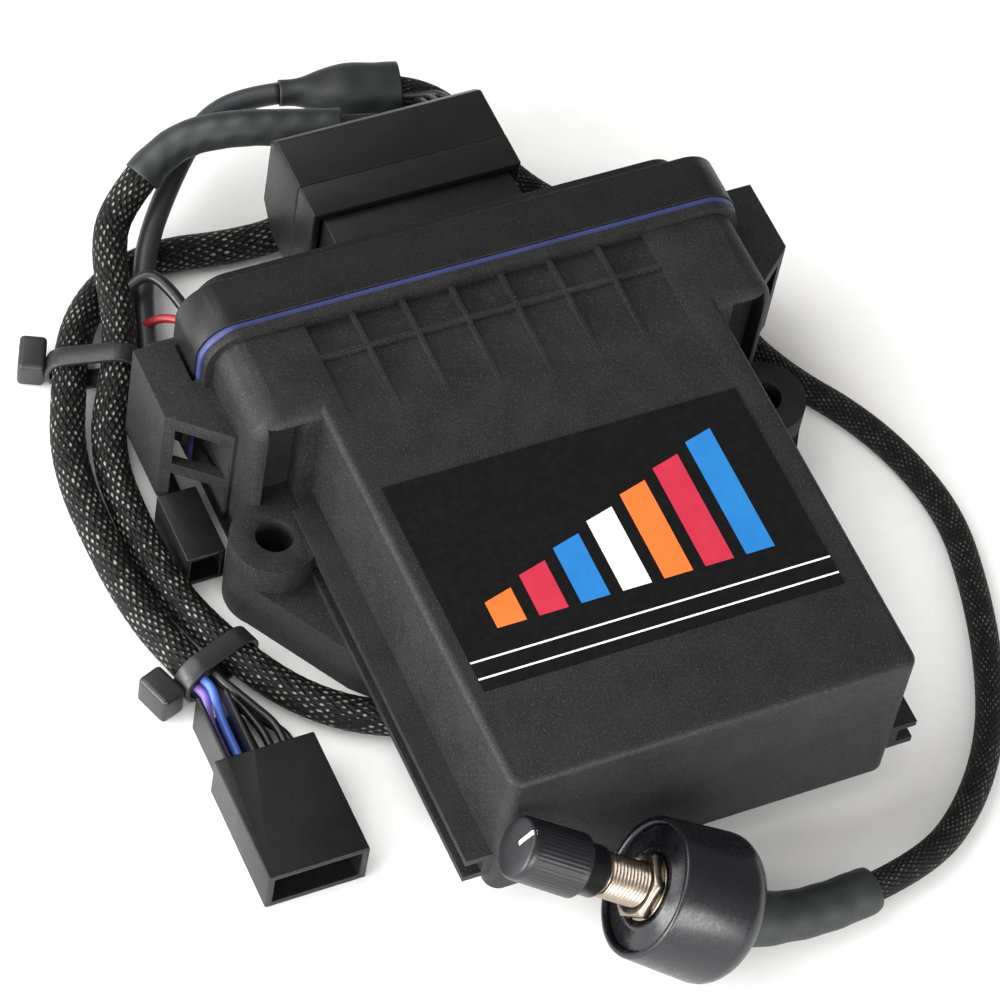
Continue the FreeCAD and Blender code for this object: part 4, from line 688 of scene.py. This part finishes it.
def make_nut_and_washer():
    """A hexagon nut with chamfered corners, on a plain ring."""
    low, high = -0.3, 2.0

    def nut_shape(radius, level, turn):
        six = hexagon(turn + np.pi / 6.0, 12.0)
        slope = (six - 6.0) * 0.55
        on_side = radius > 6.5
        reach = np.where(on_side, six, radius)
        drop = np.where(on_side & (level > 1.0), -slope, 0.0)
        rise = np.where(on_side & (level < 0.5), slope * 0.4, 0.0)
        return reach, level + (drop + rise)

    profile = [(4.4, low), (5.9, low), (7.0, low + 0.05), (7.0, high - 0.05), (5.85, high), (5.0, high),
               (4.6, high - 0.35), (4.4, high - 0.4), (4.4, low)]
    nut = lathe("hex_nut", profile, NICKEL_PLATE, "module", POD, 144, nut_shape)
    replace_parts(nut, "pot_nut")

    washer = lathe("spring_washer", [(4.6, -0.98), (6.3, -0.98), (6.4, -0.88), (6.4, -0.45), (6.3, -0.35),
                                     (4.6, -0.35), (4.6, -0.98)], NICKEL_PLATE, "module", POD, 144)
    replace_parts(washer, "pot_washer")


def make_knob():
    """A turned body with fine flutes that fade at both ends, a collar and a shallow domed cap."""
    profile = [(3.05, 11.0), (4.75, 11.0), (5.0, 11.25), (5.0, 15.1), (5.3, 15.3), (6.0, 15.4), (6.25, 15.7)]
    profile += [(6.25 - 0.004 * step, 15.7 + 0.3 * step) for step in range(1, 42)]
    profile += [(5.95, 28.5), (5.75, 28.85), (5.45, 29.02), (3.0, 29.12), (0.0, 29.15)]

    def flutes(radius, level, turn):
        fade = np.clip((level - 15.9) / 1.2, 0.0, 1.0) * np.clip((27.9 - level) / 1.2, 0.0, 1.0)
        groove = 0.5 + 0.5 * np.cos(turn * 48.0)
        return radius - 0.06 * fade * groove, level

    knob = lathe("knob_turned", profile, KNOB_ABS, "dial", POD, 288, flutes)
    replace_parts(knob, "knob")
    width = 0.45
    line = np.array([[-5.5, -width], [-5.5, width], [-1.3, width], [-1.3, -width]])
    top = 29.16
    corners = np.concatenate([np.c_[line, np.full(4, top - 0.3)], np.c_[line, np.full(4, top)],
                              [[-5.98, -width, 28.4], [-5.98, width, 28.4]]])
    faces = [[4, 7, 6, 5], [0, 1, 2, 3], [0, 3, 7, 4], [3, 2, 6, 7], [2, 1, 5, 6], [4, 5, 9, 8], [0, 4, 8],
             [1, 9, 5], [0, 8, 9, 1]]
    pointer = mesh_piece("knob_pointer_line", put(corners, POD), faces, PRINT_WHITE, "dial", smooth=False)
    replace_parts(pointer, "knob_pointer")


make_dial()

# Moulded parts carried over from the frame, with their edge radii

edged("enclosure_shell", 0.8, ENCLOSURE_NYLON, 3)
edged("header", 0.5, HEADER_NYLON)
edged("plug_housing", 0.4, CONNECTOR_PBT)
edged("plug_rear_cover", 0.5, CONNECTOR_PBT)
edged("six_way_housing", 0.35, CONNECTOR_PBT)
edged("three_way_receptacle", 0.3, CONNECTOR_PBT)
edged("three_way_plug", 0.35, CONNECTOR_PBT)
edged("perimeter_seal", 0.3, SEAL_SILICONE)
for tie in ("tie_one", "tie_two"):
    edged(tie + "_band", 0.25, TIE_NYLON)
    edged(tie + "_head", 1.0, TIE_NYLON, 4)

CARRIED = {
    "header_pins": TIN_PLATE, "plug_terminals": TIN_PLATE, "six_way_terminals": TIN_PLATE,
    "three_way_pins": TIN_PLATE, "circuit_board": BOARD_MASK, "board_components": PART_EPOXY,
    "black_wires": WIRE_BLACK, "purple_wire": WIRE_PURPLE, "blue_wire": WIRE_BLUE,
    "pot_body": NICKEL_PLATE, "pot_track": TRACK_CARBON, "pot_shaft": NICKEL_PLATE, "wiper": COPPER_BRONZE,
    "front_label": LABEL_FILM,
}
for node, skin in CARRIED.items():
    finish(nodes[node], skin)

make_sleeves()
make_plug_wires()
make_cords()

# Label print


def make_label_print():
    """Flat inked shapes just above the film: two thin rules, and a rising row of bars in four inks."""
    left, right, low = -38.5, 36.1, -60.8
    level = 44.215
    white, orange, crimson, blue = range(4)
    shapes = [(rise, rise + 0.4, left, right, 0.0, white) for rise in (low + 6.2, low + 2.4)]
    for place, ink in enumerate((orange, crimson, blue, white, orange, crimson, blue)):
        start = left + 8.0 + 8.6 * place
        shapes.append((low + 12.0, low + 18.0 + 3.6 * place, start, start + 6.0, 1.6, ink))
    points = []
    for bottom, top, start, end, climb, ink in shapes:
        points += [(start, bottom, level), (end, bottom, level)]
        points += [(end, top + climb, level), (start, top, level)]
    faces = np.arange(len(points)).reshape(-1, 4).tolist()
    mesh_piece("label_print", points, faces, (PRINT_WHITE, PRINT_ORANGE, PRINT_CRIMSON, PRINT_BLUE), "module",
               smooth=False, bands=[shape[-1] for shape in shapes])


make_label_print()


def make_loose_leads():
    """A red lead and a small black loop that show between the looms and the header's left end."""
    red = [(-58.0, 64.2, 3.4), (-54.6, 63.7, 7.2), (-50.0, 62.0, 11.0), (-46.5, 57.5, 12.0)]
    black = [(-58.6, 68.8, 9.5), (-53.5, 71.2, 14.0), (-48.5, 68.6, 15.0), (-46.0, 58.0, 12.0)]
    bundle("red_lead", [red], 0.9, WIRE_RED, "module")
    bundle("black_loop", [black], 1.25, WIRE_BLACK, "module")


make_loose_leads()
